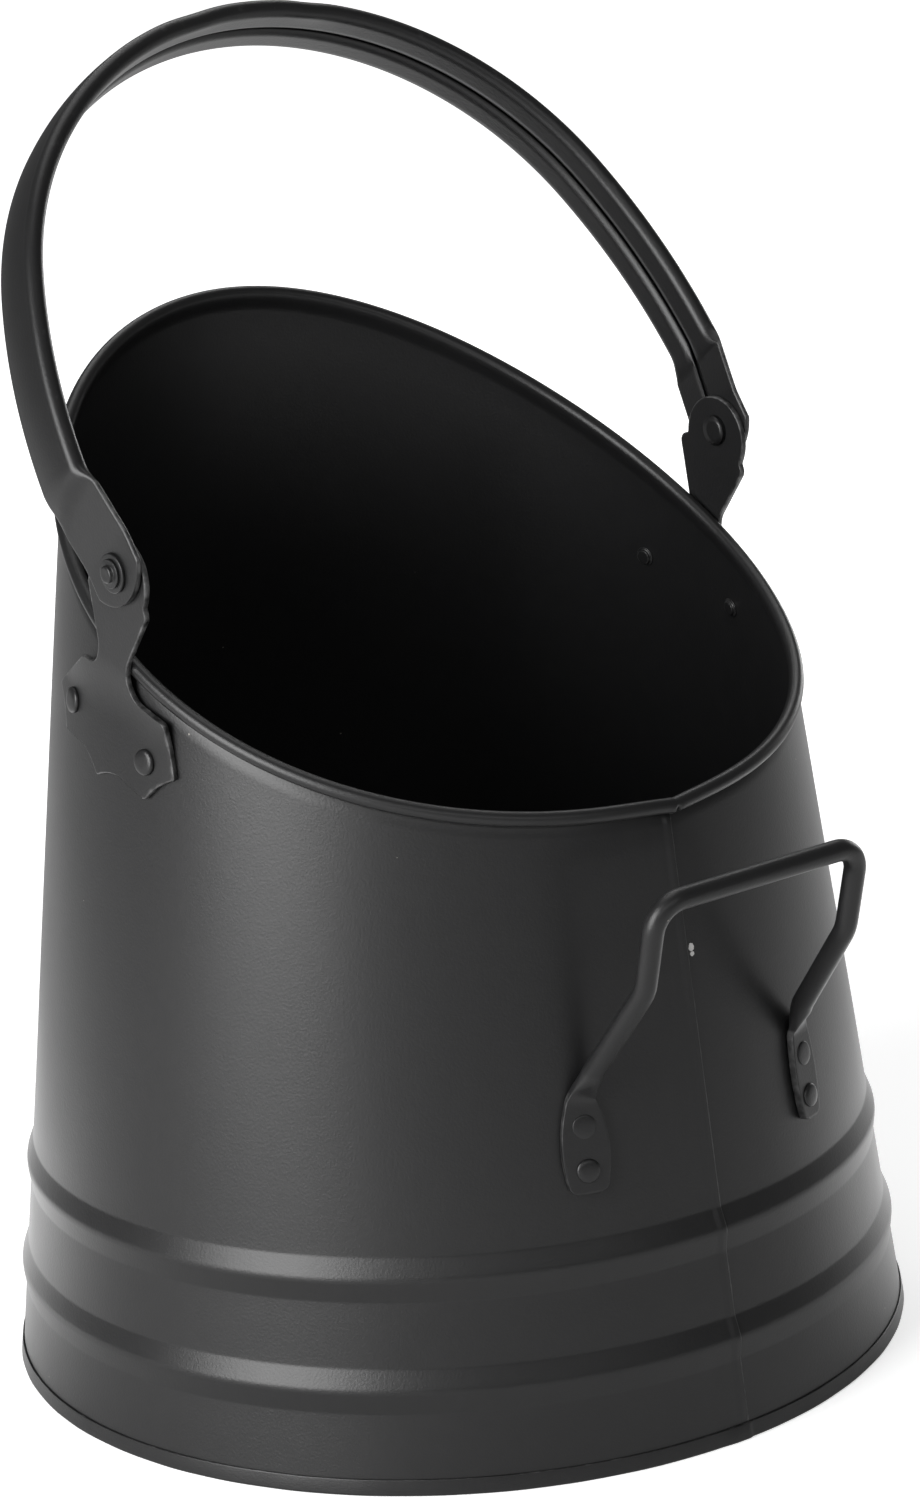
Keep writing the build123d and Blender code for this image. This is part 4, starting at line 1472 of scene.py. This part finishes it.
@dataclass
class Studio:
    """Pale floor, soft lights and the camera at the photograph's place."""

    focal_px: float = 5035.158
    sensor: float = 36.0
    azimuth: float = -36.967
    elevation: float = 16.193
    distance: float = 1778.621
    roll: float = -3.546
    target: tuple = (14.628, 0.0, 208.853)
    floor_radius: float = 14.0
    # As seen, the floor's glow runs over the fade from paper_near by the bucket to paper_far: a painted shade
    # round the bucket.
    paper_near: float = 0.6
    paper_far: float = 1.0
    fade: tuple = (0.3, 1.3)
    glow_dim: float = 0.1
    glow_bright: float = 1.6
    glow_far: float = 0.32
    glow_fade: tuple = (0.26, 0.6)
    strip_half: tuple = (0.5, 0.9)
    strip_start: tuple = (-0.12, 0.14)
    air_light: float = 0.12
    lights: tuple = (
        SoftLight("side_window", (-2.34, -0.25, 1.05), (0, 0, 0.2), (1.6, 1.9), 82.0),
        SoftLight("top_cloud", (0.2, 0.6, 2.6), (0, 0, 0.2), (1.6, 1.6), 11.0),
        SoftLight("rear_cloud", (1.2, 1.6, 2.1), (0, 0, 0.3), (1.8, 0.6), 11.0),
        SoftLight("front_cloud", (-0.71, -2.08, 1.5), (0, 0, 0.2), (2.75, 0.7), 8.0),
        SoftLight("right_card", (1.93, 0.62, 0.4), (0, 0, 0.15), (0.9, 0.55), 7.5),
    )

    def camera(self) -> None:
        """Place the camera: it looks back along its azimuth and elevation at the target, rolled a little."""
        az, el, tilt = (math.radians(value) for value in (self.azimuth, self.elevation, self.roll))
        back = Vector((math.sin(az) * math.cos(el), -math.cos(az) * math.cos(el), math.sin(el)))
        right = (-back).cross(Vector((0, 0, 1))).normalized()
        up = right.cross(-back)
        right, up = right * math.cos(tilt) + up * math.sin(tilt), up * math.cos(tilt) - right * math.sin(tilt)
        place = (Vector(self.target) + back * self.distance) * MM
        data = bpy.data.cameras.new("camera")
        data.sensor_width = self.sensor
        data.lens = self.focal_px / max(PHOTO_SIZE) * self.sensor
        data.clip_start, data.clip_end = 0.05, 60.0
        camera = bpy.data.objects.new("camera", data)
        camera.matrix_world = Matrix.Translation(place) @ Matrix((right, up, back)).transposed().to_4x4()
        bpy.context.scene.collection.objects.link(camera)
        bpy.context.scene.camera = camera

    def floor(self) -> None:
        """Pale floor, flat and wide enough to fill the view: rings of a growing radius round the origin."""
        radius = np.linspace(0, 1, 26)[:, None] ** 1.6 * self.floor_radius
        turn = np.linspace(0, FULL_TURN, 72, endpoint=False)
        grid = np.stack([radius * np.cos(turn), radius * np.sin(turn), 0 * radius * turn], axis=-1) / MM
        piece = piece_from_grid("studio_floor", grid, False, True)
        if piece.data.polygons[0].normal.z < 0:
            piece.data.flip_normals()
        piece.data.materials.append(self.paper())

    def paper(self) -> bpy.types.Material:
        """White paper that glows, though it is no lamp.

        As seen, its glow is a little darker round the bucket, a painted shade that lets a soft shadow show,
        and white further out. The light that it gives the bucket is bright on a strip beside and behind it,
        dim elsewhere.

        Returns:
            The material.
        """
        material = bpy.data.materials.new("studio_paper")
        material.use_nodes = True
        kit = NodeKit(material.node_tree)
        kit.tree.nodes.clear()
        place = kit.node("TexCoord").outputs["Object"]
        az = math.radians(self.azimuth)
        along, aside = (
            kit.node("VectorMath", place, way, operation="DOT_PRODUCT").outputs["Value"]
            for way in ((-math.sin(az), math.cos(az), 0.0), (math.cos(az), math.sin(az), 0.0))
        )
        distance = kit.node("VectorMath", place, operation="LENGTH").outputs["Value"]
        # Painted shade on the floor as seen: its glow is dimmer near the bucket and white further out.
        seen = kit.ramp(distance, self.fade, (self.paper_near, self.paper_far))
        behind = kit.ramp(along, self.strip_start, (0.0, 1.0))
        inside = kit.ramp(kit.math("ABSOLUTE", aside), self.strip_half, (1.0, 0.0))
        glow = kit.ramp(distance, self.glow_fade, (self.glow_bright, self.glow_far))
        strip = kit.math("MAXIMUM", kit.times(kit.times(behind, inside), glow), self.glow_dim)
        camera = kit.node("LightPath").outputs["Is Camera Ray"]
        light = kit.node("Mix", camera, None, strip, seen, data_type="FLOAT").outputs[0]
        shader = kit.node("BsdfPrincipled", Base_Color=(0.8, 0.8, 0.8, 1.0), Roughness=0.9,
                          Specular_IOR_Level=0.1, Emission_Color=light, Emission_Strength=1.0)
        kit.node("OutputMaterial", shader.outputs[0])
        return material

    def air(self) -> None:
        """White surroundings for the camera, which give the object only a dim and even light."""
        world = bpy.data.worlds.new("studio_air")
        world.use_nodes = True
        kit = NodeKit(world.node_tree)
        seen = kit.node("LightPath").outputs["Is Camera Ray"]
        background = kit.tree.nodes["Background"]
        kit.feed(background.inputs[0], (1.0, 1.0, 1.0, 1.0))
        kit.feed(background.inputs[1], kit.math("MULTIPLY_ADD", seen, 1.0 - self.air_light, self.air_light))
        bpy.context.scene.world = world

    def build(self) -> None:
        """Set up the floor, the surroundings, the lights and the camera."""
        self.floor()
        self.air()
        for light in self.lights:
            light.build()
        self.camera()
        bpy.context.scene.view_settings.view_transform = "Standard"
        LOG.info("studio: floor, %d soft lights and the camera", len(self.lights))


def build_bucket() -> list:
    """Build every piece of the bucket in order.

    Returns:
        The scene's own pieces.
    """
    pieces = [BodyShell().build(), BasePan().build()]
    for side in Side:
        ear = Ear(side)
        pieces.append(ear.build())
        seat = ear.play + ear.thickness
        for end, (angle, height) in ear.rivet_seats().items():
            rivet = DomeRivet(
                name=f"ear_stud_{side.label}_{end}", node=f"ear_rivet_{side.label}_{end}", angle=angle,
                height=height, grip=seat + FORM.sheet, seat=seat, dome=1.7, flatness=3.2,
            )
            pieces.append(rivet.build())
        pieces += PivotStack(side).build()
    pieces.append(Bail().build())
    handle = TippingHandle()
    pieces.append(handle.build())
    pieces += handle.rivets()
    return pieces


def main() -> None:
    """Build the bucket, its finishes and the studio."""
    logging.basicConfig(level=logging.INFO, format="%(name)s %(message)s")
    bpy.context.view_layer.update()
    pieces = build_bucket()
    Finishes().dress(pieces)
    Studio().build()


if __name__ == "__main__":
    main()
